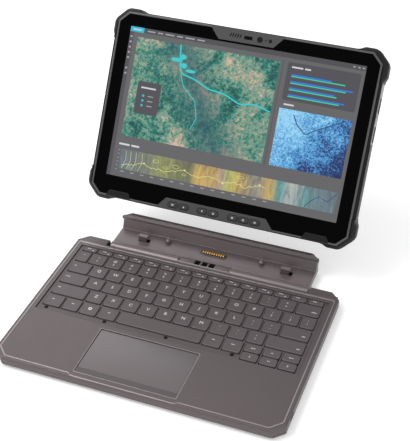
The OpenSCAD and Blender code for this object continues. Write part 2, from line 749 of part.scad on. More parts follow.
// Four-sided outline, grown by g; its edge lists the half widths of its wide
// and its narrow end, and then the heights of the two ends
module plate_outline(edge, g) {
  up = edge[3] > edge[2] ? g : -g;
  k = (edge[0] - edge[1]) / abs(edge[3] - edge[2]) * g;
  wide = edge[0] + g + k;
  narrow = edge[1] + g - k;
  polygon([[-wide, edge[2] - up], [wide, edge[2] - up], [narrow, edge[3] + up], [-narrow, edge[3] + up]]);
}

module cover_glass() {
  color("#0b0b0d") on_tablet() difference() {
    translate([0, 0, glass_z]) slab(glass_front, glass_front + glass_t)
      octagon(glass_w, glass_h, glass_corner - 0.2);
    // openings behind the front buttons
    for (x = button_x)
      translate([x, 0, button_z]) slab(-1, 3) round_rect(button_w - 2, button_h - 1.4, 1.6);
  }
}

module display_panel() {
  color("#31543f") on_tablet() translate([0, 0, screen_z])
    slab(glass_front + glass_t + 0.1, 5.2) translate([-screen_w / 2, 0]) square([screen_w, screen_h]);
}

// Underside block with the sockets for the dock's pins, hooks and contacts
module dock_rail() {
  gy = guide_y - seat_front;
  hy = hook_y - seat_front;
  cy = contact_y - seat_front;
  color("#232427") on_tablet() difference() {
    box([-rail_w / 2, rail_y0 + 0.1, 0], [rail_w / 2, rail_y1, rail_h]);
    for (s = [-1, 1]) {
      translate([s * guide_span / 2, gy, -1]) cylinder(r = guide_r + 1.1, h = guide_h + 2.4);
      translate([s * hook_span / 2, hy, 0])
        box([-hook_w / 2 - 2, -hook_t / 2 - 1.8, -1],
          [hook_w / 2 + hook_lip + latch_travel + 1.4, hook_t / 2 + 1.8, hook_h + 1.2]);
    }
    translate([0, cy, -1]) linear_extrude(1 + 1.9) round_rect(33, 10.6, 4);
    for (i = [-1, 1])
      box([i * 28 - 6, cy - 3.5, -1], [i * 28 + 6, cy + 3.5, 0.8]);
  }
}

// The tablet's outline grown by g on every side, from depth y0 to depth y1
module grown_slab(y0, y1, g, more_corner) {
  translate([0, 0, -g]) slab(y0, y1) octagon(tab_w + 2 * g, tab_h + 2 * g, tab_corner + more_corner);
}

// Rubber corner, sx = -1 on the left, top = 1 at the upper edge
module bumper(sx, top) {
  z0 = top > 0 ? tab_h - bump_len + bump : -bump - 1;
  z1 = top > 0 ? tab_h + bump + 1 : bump_len - bump;
  x0 = tab_w / 2 - bump_len;
  x1 = tab_w / 2 + bump + 1;
  zs = top > 0 ? tab_h - tab_corner / 2 + 1.6 : tab_corner / 2 - 1.6;
  color("#1d1e20") on_tablet() mirror([sx < 0 ? 1 : 0, 0, 0]) difference() {
    intersection() {
      union() {
        grown_slab(0.9, 4, bump * 0.55, 0.4);
        grown_slab(4 - e, tab_t - 4.5, bump, 1.4);
        grown_slab(tab_t - 4.5 - e, tab_t - 0.6, bump * 0.4, 0.2);
      }
      slab(0, tab_t + 1) polygon(top > 0
        ? [[x0, z1], [x0 + 7, tab_h - 8], [tab_w / 2 - 8, z0 + 7], [x1, z0], [x1, z1]]
        : [[x0, z0], [x1, z0], [x1, z1], [tab_w / 2 - 8, z1 - 7], [x0 + 7, 8]]);
    }
    // inner faces lie on the housing and on the frame
    slab(3.1, tab_t - 4) octagon(tab_w + 0.05, tab_h, tab_corner);
    slab(-1, 3.3) translate([0, 0.4]) octagon(tab_w - 2.9, tab_h - 0.8, tab_corner - 0.5);
    slab(tab_t - 4.1, tab_t + 1) octagon(tab_w + 0.05, tab_h, tab_corner);
    // strap slot through the corner
    translate([tab_w / 2 - tab_corner / 2 + 1.6, 0, zs])
      rotate([0, top > 0 ? 45 : -45, 0]) box([-8, 9.5, -1.2], [8, 14.5, 1.2]);
  }
}

module bumper_top_left() { bumper(-1, 1); }
module bumper_top_right() { bumper(1, 1); }
module bumper_bottom_left() { bumper(-1, -1); }
module bumper_bottom_right() { bumper(1, -1); }

module camera_plate() {
  color("#4f5155") on_tablet() difference() {
    slab(plate_front, plate_back) plate_outline(camera_edge, 0);
    for (i = [0:4])
      translate([-17.5 + i * 2.7, plate_front, tab_h - 7.6]) rotate([0, 20, 0])
        cube([1.2, 0.8, 4.2], center = true);
    translate([1.9, plate_front, tab_h - 8.2]) cube([9, 0.8, 3.6], center = true);
    translate([14.5, plate_back, tab_h - 8]) rotate([90, 0, 0]) cylinder(r = 3.1, h = 3);
    translate([20.9, plate_back, tab_h - 7.8]) rotate([90, 0, 0]) cylinder(r = 0.8, h = 3);
    translate([25.8, plate_back, tab_h - 7.8]) rotate([90, 0, 0]) cylinder(r = 1.9, h = 3);
  }
}

module camera_glass() {
  color("#101014") on_tablet() union() {
    translate([14.5, plate_back, tab_h - 8]) rotate([90, 0, 0]) cylinder(r = 2.9, h = 0.7);
    translate([20.9, plate_back, tab_h - 7.8]) rotate([90, 0, 0]) cylinder(r = 0.7, h = 0.6);
    translate([25.8, plate_back, tab_h - 7.8]) rotate([90, 0, 0]) cylinder(r = 1.75, h = 0.65);
  }
}

module button_plate() {
  color("#4f5155") on_tablet() difference() {
    slab(plate_front, plate_back) plate_outline(button_edge, 0);
    for (x = button_x)
      translate([x, 0, button_z]) slab(-2, 1)
        round_rect(button_w + 2 * button_gap, button_h + 2 * button_gap, 2.4);
  }
}

// One front button, i counts from the left
module front_button(i) {
  color("#3a3c3f") on_tablet() translate([button_x[i], 0, button_z]) union() {
    slab(plate_front - 0.55, plate_back - button_travel - 0.05) round_rect(button_w, button_h, 2.2);
    slab(plate_back - button_travel - 0.05 - e, 1.9) round_rect(button_w - 3.2, button_h - 2.4, 1.2);
  }
}

module front_button_1() { front_button(0); }
module front_button_2() { front_button(1); }
module front_button_3() { front_button(2); }
module front_button_4() { front_button(3); }
module front_button_5() { front_button(4); }
module front_button_6() { front_button(5); }
module front_button_7() { front_button(6); }

// Two small plates low on the front, left and right of the buttons
module corner_tabs() {
  color("#3d3f42") on_tablet() for (s = [-1, 1])
    translate([s * tab_x, 0, 0]) slab(plate_front + 0.2, plate_back) plate_outline(tab_edge, 0);
}

// Cover of one port, on a hinge pin along its rear edge
module port_door(i) {
  x = tab_w / 2;
  pin_x = x - door_t / 2 - 0.3;
  pin_y = door_y + door_wid - 1;
  color("#161719") on_tablet() translate([0, 0, door_z[i]]) difference() {
    translate([0, 0, -door_len / 2]) linear_extrude(door_len) {
      translate([x - door_t, door_y]) square([door_t - 0.1, door_wid - 1.9]);
      translate([x - door_t + 0.3, door_y + door_wid - 2.2]) square([door_t - 0.8, 1.2]);
      translate([pin_x, pin_y]) circle(door_pin_r);
    }
    // finger groove
    box([x - 0.6, door_y + 0.7, -3.5], [x + 1, door_y + 1.7, 3.5]);
  }
}
module port_door_upper() { port_door(0); }
module port_door_lower() { port_door(1); }

// Sockets behind the doors
module port_block() {
  x = tab_w / 2;
  color("#8c8f93") on_tablet() for (z = door_z) difference() {
    box([x - 19, door_y, z - door_len / 2 + 0.5],
      [x - door_t - 1.6, door_y + door_wid - 0.4, z + door_len / 2 - 0.5]);
    box([x - 17, door_y + 0.8, z - 6.6], [x, door_y + 5.8, z + 6.6]);
  }
}

module battery(s) {
  color("#303236") on_tablet() translate([s * battery_x, 0, battery_z]) difference() {
    box([-battery_w / 2, tab_t - battery_t, 0], [battery_w / 2, tab_t, battery_h]);
    box([-14, tab_t - 1.6, battery_h - 9], [14, tab_t + 1, battery_h - 3]);
    for (i = [0:3])
      box([-battery_w / 2 + 12, tab_t - 0.5, 10 + i * 8], [battery_w / 2 - 12, tab_t + 1, 12 + i * 8]);
  }
}
module battery_left() { battery(-1); }
module battery_right() { battery(1); }

module battery_latch(s) {
  color("#8a3a22") on_tablet() translate([s * battery_x, 0, battery_z + battery_h + 4]) union() {
    box([-bat_latch_w / 2, tab_t - bat_latch_t + 0.1, 0.3],
      [bat_latch_w / 2, tab_t - 0.3, bat_latch_h + 0.3]);
    for (i = [-2:2])
      box([i * 3 - 0.6, tab_t - 0.3 - e, 1.8], [i * 3 + 0.6, tab_t + 0.4, bat_latch_h - 1.2]);
  }
}
module battery_latch_left() { battery_latch(-1); }
module battery_latch_right() { battery_latch(1); }

module main_board() {
  color("#1f4a34") on_tablet() union() {
    box([-118, 8.6, 122], [118, 10.0, 186]);
    box([-30, 10 - e, 134], [26, 14.5, 172]);
    box([50, 10 - e, 140], [84, 12, 164]);
    box([-96, 10 - e, 142], [-60, 12.2, 170]);
  }
}

module housing_screws() {
  color("#3a3b3e") on_tablet() for (p = housing_spots)
    translate([p[0], tab_t - 0.6, p[1]]) rotate([-90, 0, 0]) screw(2.5, 1.0, 2.5);
}

module rear_camera() {
  color("#121316") on_tablet() translate([camera_x, tab_t - 5, camera_z]) rotate([-90, 0, 0]) difference() {
    cylinder(r = camera_r, h = 5.4);
    translate([0, 0, 4.4]) cylinder(r = camera_r - 1.6, h = 2);
  }
}

base_cover();
deck_frame();
key_plate();
keyboard_board();
touchpad_strip();
rubber_feet();
deck_screws();
base_screws();
hinge_pins();
side_insert();
function_keys();
number_keys();
upper_letter_keys();
home_letter_keys();
lower_letter_keys();
bottom_keys();
space_bar();
arrow_keys();
touchpad();
dock_chassis();
dock_back_cap();
dock_barrel();
dock_center_cover();
contact_block();
contact_pins();
guide_pins();
latch_bar();
latch_hooks();
dock_foot();
dock_screws();
rear_housing();
front_frame();
cover_glass();
display_panel();
dock_rail();
bumper_top_left();
bumper_top_right();
bumper_bottom_left();
bumper_bottom_right();
camera_plate();
camera_glass();
button_plate();
front_button_1();
front_button_2();
front_button_3();
front_button_4();
front_button_5();
front_button_6();
front_button_7();
corner_tabs();
port_door_upper();
port_door_lower();
port_block();
battery_left();
battery_right();
battery_latch_left();
battery_latch_right();
main_board();
housing_screws();
rear_camera();
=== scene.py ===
import json
import math
import bpy
import bmesh
import numpy as np
from mathutils import Matrix, Vector


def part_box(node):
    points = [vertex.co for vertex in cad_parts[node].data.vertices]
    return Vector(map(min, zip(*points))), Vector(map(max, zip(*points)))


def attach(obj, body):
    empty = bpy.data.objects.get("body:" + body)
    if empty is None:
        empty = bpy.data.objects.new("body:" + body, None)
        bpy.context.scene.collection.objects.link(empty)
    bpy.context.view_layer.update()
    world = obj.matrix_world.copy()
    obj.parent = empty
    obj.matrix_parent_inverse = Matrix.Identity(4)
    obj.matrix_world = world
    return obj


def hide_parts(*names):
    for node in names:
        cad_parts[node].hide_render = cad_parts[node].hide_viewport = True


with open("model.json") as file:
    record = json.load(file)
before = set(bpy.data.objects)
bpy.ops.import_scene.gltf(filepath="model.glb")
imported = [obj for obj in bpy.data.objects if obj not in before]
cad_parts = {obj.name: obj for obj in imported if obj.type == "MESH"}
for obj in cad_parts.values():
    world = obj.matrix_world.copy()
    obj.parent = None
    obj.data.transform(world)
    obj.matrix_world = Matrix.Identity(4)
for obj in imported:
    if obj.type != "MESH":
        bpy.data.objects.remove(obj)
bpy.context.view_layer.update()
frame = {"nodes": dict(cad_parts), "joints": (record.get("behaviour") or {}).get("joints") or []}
nodes = frame["nodes"]
mm = 0.001
rng = np.random.default_rng(7)

# the tablet's own directions: right, from the glass to the back, and up from its lower edge
liftJoint = next(j for j in frame["joints"] if j["name"] == "tablet_lift")
leanAngle = math.radians(liftJoint["range_deg"][1])
liftRadius, tabletThick = 80.0, 24.6
tabletWide, tabletTall = 295.0, 202.0
pivotY, pivotZ = liftJoint["pos_m"][1] / mm, liftJoint["pos_m"][2] / mm
glassY = pivotY - liftRadius - tabletThick / 2
dockJoint = next(j for j in frame["joints"] if j["name"] == "dock_hinge")
hingeY, hingeZ = dockJoint["pos_m"][1] / mm, dockJoint["pos_m"][2] / mm


def onTablet(points):
    # millimetres in the tablet's directions, turned back by the lean about the lift axis
    p = np.asarray(points, float)
    y, z = glassY + p[..., 1] - pivotY, p[..., 2]
    c, s = math.cos(leanAngle), math.sin(leanAngle)
    return np.stack([p[..., 0], pivotY + y * c + z * s, pivotZ - y * s + z * c], -1)


def asIs(points):
    # the points as they are, for pieces drawn straight in the shared frame
    return np.asarray(points, float)


# How shapes are made.

def makeMesh(name, verts, faces, material, place=asIs, uv=None, faceMaterial=None, smooth=30, tidy=True):
    # verts in millimetres; uv has one pair for each vertex; smooth is the angle that stays sharp
    mesh = bpy.data.meshes.new(name)
    mesh.from_pydata((place(verts) * mm).tolist(), [], faces)
    if uv is not None:
        layer = mesh.uv_layers.new(name="UVMap")
        index = np.empty(len(mesh.loops), np.int32)
        mesh.loops.foreach_get("vertex_index", index)
        layer.data.foreach_set("uv", np.asarray(uv, np.float32)[index].ravel())
    for m in material if isinstance(material, list) else [material]:
        mesh.materials.append(m)
    if faceMaterial is not None:
        mesh.polygons.foreach_set("material_index", np.asarray(faceMaterial, np.int32))
    if tidy:
        work = bmesh.new()
        work.from_mesh(mesh)
        bmesh.ops.recalc_face_normals(work, faces=work.faces)
        work.to_mesh(mesh)
        work.free()
    mesh.polygons.foreach_set("use_smooth", [True] * len(mesh.polygons))
    mesh.set_sharp_from_angle(angle=math.radians(smooth))
    mesh.update()
    piece = bpy.data.objects.new(name, mesh)
    bpy.context.scene.collection.objects.link(piece)
    return piece


class Heap:
    # collects closed shapes, so that many small ones become one piece
    def __init__(self):
        self.verts, self.faces, self.kinds, self.count = [], [], [], 0

    def add(self, verts, faces, kind=0):
        self.verts.append(np.asarray(verts, float).reshape(-1, 3))
        self.faces += [[i + self.count for i in f] for f in faces]
        self.kinds += [kind] * len(faces)
        self.count += len(self.verts[-1])

    def loft(self, rings, kind=0):
        self.add(np.concatenate(rings), loftFaces(len(rings), len(rings[0])), kind)

    def piece(self, name, material, place=asIs, smooth=30):
        return makeMesh(name, np.concatenate(self.verts), self.faces, material, place,
                        faceMaterial=self.kinds, smooth=smooth)


def loftFaces(rings, around, ends=True, closed=True):
    # quads between neighbouring rings of one point count, with a many-sided face at each end
    i, j = np.meshgrid(np.arange(rings - 1), np.arange(around if closed else around - 1), indexing="ij")
    k = (j + 1) % around
    quads = np.stack([i * around + j, i * around + k, (i + 1) * around + k, (i + 1) * around + j], -1)
    faces = quads.reshape(-1, 4).tolist()
    if ends:
        faces.append(list(range(around))[::-1])
        faces.append([(rings - 1) * around + n for n in range(around)])
    return faces


def roundedLoop(corners, radii, steps=5):
    # each corner of the outline becomes an arc of the given radius that touches both of its sides
    c = np.asarray(corners, float)
    before, after = np.roll(c, 1, 0) - c, np.roll(c, -1, 0) - c
    lb = np.linalg.norm(before, axis=1, keepdims=True)
    la = np.linalg.norm(after, axis=1, keepdims=True)
    before, after = before / lb, after / la
    turn = np.arccos(np.clip((before * after).sum(1), -1, 1))[:, None]
    r = np.broadcast_to(np.asarray(radii, float), (len(c),))[:, None]
    reach = np.minimum(r / np.tan(turn / 2), 0.49 * np.minimum(lb, la))
    r = reach * np.tan(turn / 2)
    middle = before + after
    centre = c + middle / np.linalg.norm(middle, axis=1, keepdims=True) * r / np.sin(turn / 2)
    a, b = c + before * reach - centre, c + after * reach - centre
    start = np.arctan2(a[:, 1], a[:, 0])[:, None]
    sweep = (np.arctan2(b[:, 1], b[:, 0])[:, None] - start + math.pi) % (2 * math.pi) - math.pi
    t = start + sweep * np.linspace(0, 1, steps)[None]
    return np.stack([centre[:, :1] + r * np.cos(t), centre[:, 1:] + r * np.sin(t)], -1).reshape(-1, 2)


def circleLoop(x, y, across, steps, up=None):
    # evenly spaced points on a circle, or on an ellipse where its second radius is given
    t = np.linspace(0, 2 * math.pi, steps, endpoint=False)
    return np.stack([x + across * np.cos(t), y + (up or across) * np.sin(t)], -1)


def rectLoop(x0, x1, y0, y1, r, steps=5):
    # a rectangle with rounded corners
    return roundedLoop([(x0, y0), (x1, y0), (x1, y1), (x0, y1)], r, steps)


def octagonLoop(w, z0, z1, cut, r, steps=5):
    # a rectangle of width w with its four corners cut off at 45 degrees, each new corner rounded
    h = w / 2
    return roundedLoop([(-h + cut, z0), (h - cut, z0), (h, z0 + cut), (h, z1 - cut),
                        (h - cut, z1), (-h + cut, z1), (-h, z1 - cut), (-h, z0 + cut)], r, steps)


def flatRing(loop, depth, axis):
    # a flat outline set at one depth along the Y (1) or the Z (2) direction
    level = np.full((len(loop), 1), float(depth))
    return np.hstack([loop[:, :1], level, loop[:, 1:]] if axis == 1 else [loop, level])


def loftPiece(name, rings, material, place=asIs, ends=True, smooth=30):
    # rings of one point count joined into a closed skin
    verts = np.concatenate(rings)
    return makeMesh(name, verts, loftFaces(len(rings), len(rings[0]), ends), material, place, smooth=smooth)


def ringFaces(rings, around):
    # the faces of a loft without ends, and those from its last ring to its first
    last = (rings - 1) * around
    return loftFaces(rings, around, ends=False) + [[last + j, last + (j + 1) % around, (j + 1) % around, j]
                                                   for j in range(around)]


def ringPiece(name, rings, material, place=asIs, smooth=30):
    # like a loft, but its last ring joins its first, as on a frame with a hole in it
    return makeMesh(name, np.concatenate(rings), ringFaces(len(rings), len(rings[0])), material, place,
                    smooth=smooth)


def barAlongX(heap, profile, x0, x1, edge=0.4, kind=0):
    # a closed outline in Y and Z carried along X, drawn in by the edge at both ends
    p = np.asarray(profile, float)
    middle = p.mean(0)
    size = np.abs(p - middle).max(0)
    small = middle + (p - middle) * (1 - edge / size)
    rings = [(x0, small), (x0 + edge, p), (x1 - edge, p), (x1, small)]
    verts = np.concatenate([np.hstack([np.full((len(q), 1), x), q]) for x, q in rings])
    heap.add(verts, loftFaces(4, len(p)), kind)


def padShape(heap, loop, low, high, edge=0.3, axis=1, kind=0):
    # a flat outline raised from low to high, with a small bevel round its top
    middle = (loop.max(0) + loop.min(0)) / 2
    half = (loop.max(0) - loop.min(0)) / 2
    inner = middle + (loop - middle) * (1 - edge / half)
    step = edge if high > low else -edge
    rings = [flatRing(loop, low, axis), flatRing(loop, high - step, axis), flatRing(inner, high, axis)]
    heap.loft(rings, kind)


# Finishes.

def newGroup(name, inputs, outputs):
    # an empty node group with named inputs, their values, and named outputs
    group = bpy.data.node_groups.new(name, "ShaderNodeTree")
    for label, kind, value in inputs:
        socket = group.interface.new_socket(label, in_out="INPUT", socket_type=kind)
        socket.default_value = value
    for label, kind in outputs:
        group.interface.new_socket(label, in_out="OUTPUT", socket_type=kind)
    return group, group.nodes.new("NodeGroupInput"), group.nodes.new("NodeGroupOutput")


def link(tree, a, b):
    # joins the output a to the input b
    tree.links.new(a, b)


def mathNode(tree, kind, a, b=None, clamp=False):
    # one step of arithmetic on numbers or sockets, held between 0 and 1 if clamped
    node = tree.nodes.new("ShaderNodeMath")
    node.operation, node.use_clamp = kind, clamp
    for socket, value in zip(node.inputs, (a, b)):
        if value is None:
            continue
        if isinstance(value, (int, float)):
            socket.default_value = value
        else:
            link(tree, value, socket)
    return node.outputs[0]


def times(tree, a, b, clamp=False):
    # a times b
    return mathNode(tree, "MULTIPLY", a, b, clamp)


def plus(tree, a, b, clamp=False):
    # a plus b
    return mathNode(tree, "ADD", a, b, clamp)


def minus(tree, a, b, clamp=False):
    # a minus b
    return mathNode(tree, "SUBTRACT", a, b, clamp)


def noiseNode(tree, vector, scale, detail=3.0, rough=0.5, distort=0.0):
    # fractal noise from 0 to 1 at the given places
    node = tree.nodes.new("ShaderNodeTexNoise")
    node.inputs["Detail"].default_value = detail
    node.inputs["Roughness"].default_value = rough
    node.inputs["Distortion"].default_value = distort
    if isinstance(scale, (int, float)):
        node.inputs["Scale"].default_value = scale
    else:
        link(tree, scale, node.inputs["Scale"])
    link(tree, vector, node.inputs["Vector"])
    return node.outputs["Fac"]


def mixColour(tree, fac, a, b, kind="MIX"):
    # colour a where the factor is 0, and a blended with b in the named way where it is 1
    node = tree.nodes.new("ShaderNodeMix")
    node.data_type, node.blend_type = "RGBA", kind
    for socket, value in zip((node.inputs[0], node.inputs[6], node.inputs[7]), (fac, a, b)):
        if isinstance(value, (int, float)):
            socket.default_value = value
        elif isinstance(value, tuple):
            socket.default_value = (*value, 1.0)
        else:
            link(tree, value, socket)
    return node.outputs[2]


def rampNode(tree, fac, stops, kind="LINEAR"):
    # the colours of the stops, blended along the factor
    node = tree.nodes.new("ShaderNodeValToRGB")
    node.color_ramp.interpolation = kind
    for n, (at, colour) in enumerate(stops):
        element = node.color_ramp.elements[n] if n < 2 else node.color_ramp.elements.new(at)
        element.position = at
        element.color = (*colour, 1.0)
    link(tree, fac, node.inputs[0])
    return node.outputs[0]


def surfaceGroup():
    # fine moulded or powder-coated grain, slow mottling, and smoother edges with a painted highlight along them
    group, gin, gout = newGroup("finishedSurface", [
        ("Colour", "NodeSocketColor", (0.2, 0.2, 0.2, 1)),
                                                    ("Edge Highlight Colour", "NodeSocketColor", (0.5, 0.5, 0.5, 1)),
        ("Grain Scale", "NodeSocketFloat", 1500.0), ("Grain", "NodeSocketFloat", 0.3),
        ("Mottle", "NodeSocketFloat", 0.1), ("Edge", "NodeSocketFloat", 0.5),
        ("Rough", "NodeSocketFloat", 0.5)],
        [("Colour", "NodeSocketColor"), ("Roughness", "NodeSocketFloat"), ("Normal", "NodeSocketVector")])
    place = group.nodes.new("ShaderNodeTexCoord").outputs["Object"]
    fine = noiseNode(group, place, gin.outputs["Grain Scale"], 2.0, 0.6)
    slow = noiseNode(group, place, 28.0, 4.0, 0.55)
    smudge = noiseNode(group, place, 90.0, 3.0, 0.6, 0.4)
    soft = group.nodes.new("ShaderNodeBevel")
    soft.samples = 4
    soft.inputs["Radius"].default_value = 0.0006
    geometry = group.nodes.new("ShaderNodeNewGeometry")
    dot = group.nodes.new("ShaderNodeVectorMath")
    dot.operation = "DOT_PRODUCT"
    link(group, soft.outputs[0], dot.inputs[0])
    link(group, geometry.outputs["Normal"], dot.inputs[1])
    # a painted highlight on the rounded edges, found from the bevel normal and varied by the slow mottle
    edgeHighlight = times(group, minus(group, 1.0, dot.outputs["Value"]), 9.0, True)
    edgeHighlight = times(group, edgeHighlight, plus(group, slow, 0.35))
    edgeHighlight = times(group, edgeHighlight, gin.outputs["Edge"], True)
    shade = times(group, minus(group, slow, 0.5), gin.outputs["Mottle"])
    speck = times(group, minus(group, fine, 0.5), gin.outputs["Grain"])
    value = plus(group, plus(group, shade, speck), 1.0)
    tone = group.nodes.new("ShaderNodeVectorMath")
    tone.operation = "SCALE"
    link(group, gin.outputs["Colour"], tone.inputs[0])
    link(group, value, tone.inputs["Scale"])
    link(group, mixColour(group, edgeHighlight, tone.outputs[0], gin.outputs["Edge Highlight Colour"]), gout.inputs["Colour"])
    roughness = plus(group, gin.outputs["Rough"],
                         times(group, minus(group, smudge, 0.5), 0.16))
    roughness = minus(group, roughness, times(group, edgeHighlight, 0.12), True)
    link(group, roughness, gout.inputs["Roughness"])
    bump = group.nodes.new("ShaderNodeBump")
    bump.inputs["Distance"].default_value = 0.00012
    link(group, gin.outputs["Grain"], bump.inputs["Strength"])
    link(group, fine, bump.inputs["Height"])
    link(group, soft.outputs[0], bump.inputs["Normal"])
    link(group, bump.outputs[0], gout.inputs["Normal"])
    return group


finishGroup = surfaceGroup()


def finishMaterial(name, colour, edgeHighlightColour, rough=0.5, metal=0.0, grain=0.3, grainScale=1500.0,
                   mottle=0.1, edge=0.5, coat=0.0, specular=0.5):
    # a painted or moulded surface: the shared finish group with this colour, a painted edge highlight and grain
    material = bpy.data.materials.new(name)
    material.use_nodes = True
    tree = material.node_tree
    shader = tree.nodes["Principled BSDF"]
    node = tree.nodes.new("ShaderNodeGroup")
    node.node_tree = finishGroup
    values = {"Colour": (*colour, 1.0), "Edge Highlight Colour": (*edgeHighlightColour, 1.0), "Grain Scale": grainScale,
              "Grain": grain, "Mottle": mottle, "Edge": edge, "Rough": rough}
    for label, value in values.items():
        node.inputs[label].default_value = value
    link(tree, node.outputs["Colour"], shader.inputs["Base Color"])
    link(tree, node.outputs["Roughness"], shader.inputs["Roughness"])
    link(tree, node.outputs["Normal"], shader.inputs["Normal"])
    shader.inputs["Metallic"].default_value = metal
    shader.inputs["Specular IOR Level"].default_value = specular
    shader.inputs["Coat Weight"].default_value = coat
    shader.inputs["Coat Roughness"].default_value = 0.08
    material.diffuse_color = (*colour, 1.0)
    return material


print("materials")
deckPlastic = finishMaterial("deckPlastic", (0.104, 0.085, 0.088), (0.38, 0.34, 0.34), 0.40, 0.30, 0.16, 2200,
                             0.10, 0.45)
# a lighter colour for the raised lines and seams: a painted highlight along them
lineHighlight = finishMaterial("lineHighlight", (0.30, 0.265, 0.268), (0.60, 0.56, 0.56), 0.32, 0.55, 0.10, 2600, 0.08,
                          0.5)
wellPlastic = finishMaterial("wellPlastic", (0.090, 0.074, 0.077), (0.28, 0.25, 0.25), 0.46, 0.20, 0.18, 2200,
                             0.10, 0.4)
keyPlastic = finishMaterial("keyPlastic", (0.088, 0.073, 0.076), (0.50, 0.45, 0.45), 0.46, 0.05, 0.22, 2600,
                            0.10, 1.0)
legendInk = finishMaterial("legendInk", (0.72, 0.68, 0.68), (0.8, 0.76, 0.76), 0.55, 0.0, 0.10, 3000, 0.06,
                           0.0)
plateSteel = finishMaterial("plateSteel", (0.040, 0.034, 0.035), (0.12, 0.11, 0.11), 0.45, 0.6, 0.20, 1800,
                            0.15, 0.4)
boardGreen = finishMaterial("boardGreen", (0.02, 0.11, 0.05), (0.10, 0.24, 0.14), 0.35, 0.0, 0.25, 900, 0.25,
                            0.3)
blackRubber = finishMaterial("blackRubber", (0.014, 0.014, 0.015), (0.05, 0.05, 0.052), 0.72, 0.0, 0.45, 1300,
                             0.15, 0.5)
brushedSteel = finishMaterial("brushedSteel", (0.52, 0.52, 0.53), (0.75, 0.75, 0.76), 0.30, 1.0, 0.25, 1400,
                              0.10, 0.4)
screwBlack = finishMaterial("screwBlack", (0.013, 0.013, 0.014), (0.10, 0.10, 0.10), 0.38, 0.6, 0.20, 1700,
                            0.10, 0.5)
padPlastic = finishMaterial("padPlastic", (0.132, 0.116, 0.119), (0.46, 0.42, 0.42), 0.34, 0.20, 0.10, 3000,
                            0.06, 0.7)
stripPlastic = finishMaterial("stripPlastic", (0.078, 0.066, 0.068), (0.34, 0.30, 0.30), 0.40, 0.15, 0.14,
                              2400, 0.08, 0.6)
dockPlastic = finishMaterial("dockPlastic", (0.158, 0.132, 0.136), (0.40, 0.36, 0.36), 0.38, 0.35, 0.14, 2200,
                             0.10, 0.5)
dockBright = finishMaterial("dockBright", (0.160, 0.135, 0.138), (0.42, 0.38, 0.38), 0.36, 0.55, 0.08, 2400,
                            0.06, 0.4)
# the barrel is lighter than the dock's own colour, as a painted highlight along it
barrelMetal = finishMaterial("barrelMetal", (0.190, 0.162, 0.165), (0.40, 0.36, 0.36), 0.36, 0.55, 0.08, 2400,
                             0.06, 0.3)
contactGold = finishMaterial("contactGold", (0.78, 0.44, 0.12), (0.95, 0.70, 0.35), 0.30, 0.9, 0.10, 2600,
                             0.10, 0.3)
shellDark = finishMaterial("shellDark", (0.014, 0.014, 0.0155), (0.07, 0.07, 0.074), 0.48, 0.10, 0.35, 1300,
                           0.15, 0.4, specular=0.25)
# a lighter metal grey for the right side's upper panels: a painted sheen
sideSheenMetal = finishMaterial("sideSheenMetal", (0.165, 0.165, 0.170), (0.40, 0.40, 0.41), 0.34, 0.70, 0.20, 1500,
                           0.12, 0.5)
frameGrey = finishMaterial("frameGrey", (0.0095, 0.0098, 0.0105), (0.045, 0.045, 0.048), 0.42, 0.0, 0.22,
                           1700, 0.12, 0.3, specular=0.16)
# a lighter grey for the bezel's raised lip: a painted highlight
rimHighlightGrey = finishMaterial("rimHighlightGrey", (0.085, 0.087, 0.090), (0.20, 0.20, 0.21), 0.36, 0.45, 0.15, 1900, 0.10,
                         0.4)
glassBlack = finishMaterial("glassBlack", (0.0010, 0.0010, 0.0012), (0.004, 0.004, 0.005), 0.09, 0.0, 0.02,
                            500, 0.10, 0.0, specular=0.03)
bumperRubber = finishMaterial("bumperRubber", (0.0075, 0.0075, 0.008), (0.040, 0.040, 0.042), 0.50, 0.0, 0.40,
                              1100, 0.18, 0.35, specular=0.24)
plateGrey = finishMaterial("plateGrey", (0.056, 0.056, 0.057), (0.20, 0.20, 0.21), 0.50, 0.10, 0.30, 1800,
                           0.10, 0.4, specular=0.3)
buttonGrey = finishMaterial("buttonGrey", (0.034, 0.035, 0.037), (0.16, 0.16, 0.17), 0.48, 0.10, 0.25, 1900,
                            0.10, 0.6, specular=0.3)
lensGlass = finishMaterial("lensGlass", (0.0015, 0.0015, 0.003), (0.02, 0.02, 0.03), 0.08, 0.0, 0.02, 900,
                           0.10, 0.2, coat=0.25, specular=0.15)
# near-black for gaps, slots, holes and recesses as painted shade in them; also for the printed floor marks and
# the black plugs
shadeAndMarkBlack = finishMaterial("shadeAndMarkBlack", (0.0015, 0.0015, 0.0015), (0.006, 0.006, 0.006), 0.75, 0.0, 0.20,
                           1500, 0.10, 0.1, specular=0.08)
batteryPlastic = finishMaterial("batteryPlastic", (0.036, 0.037, 0.041), (0.18, 0.18, 0.19), 0.55, 0.0, 0.40,
                                1200, 0.12, 0.5)
latchOrange = finishMaterial("latchOrange", (0.48, 0.11, 0.03), (0.75, 0.35, 0.20), 0.48, 0.0, 0.25, 1700,
                             0.10, 0.5)

# The keyboard.

def boxShape(heap, x0, x1, y0, y1, z0, z1, corner=0.3, edge=0.2, kind=0):
    # an upright box with rounded corners and a bevelled top edge
    padShape(heap, rectLoop(x0, x1, y0, y1, corner, 3), z0, z1, edge, axis=2, kind=kind)


def boxOf(name):
    # the lowest and the highest corner of a CAD node, in millimetres
    low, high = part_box(name)
    return np.array(low) / mm, np.array(high) / mm


def finish(piece, body, slot, *replaced):
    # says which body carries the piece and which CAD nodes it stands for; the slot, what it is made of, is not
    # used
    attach(piece, body)
    if replaced:
        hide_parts(*replaced)
    return piece


glyphs = {}


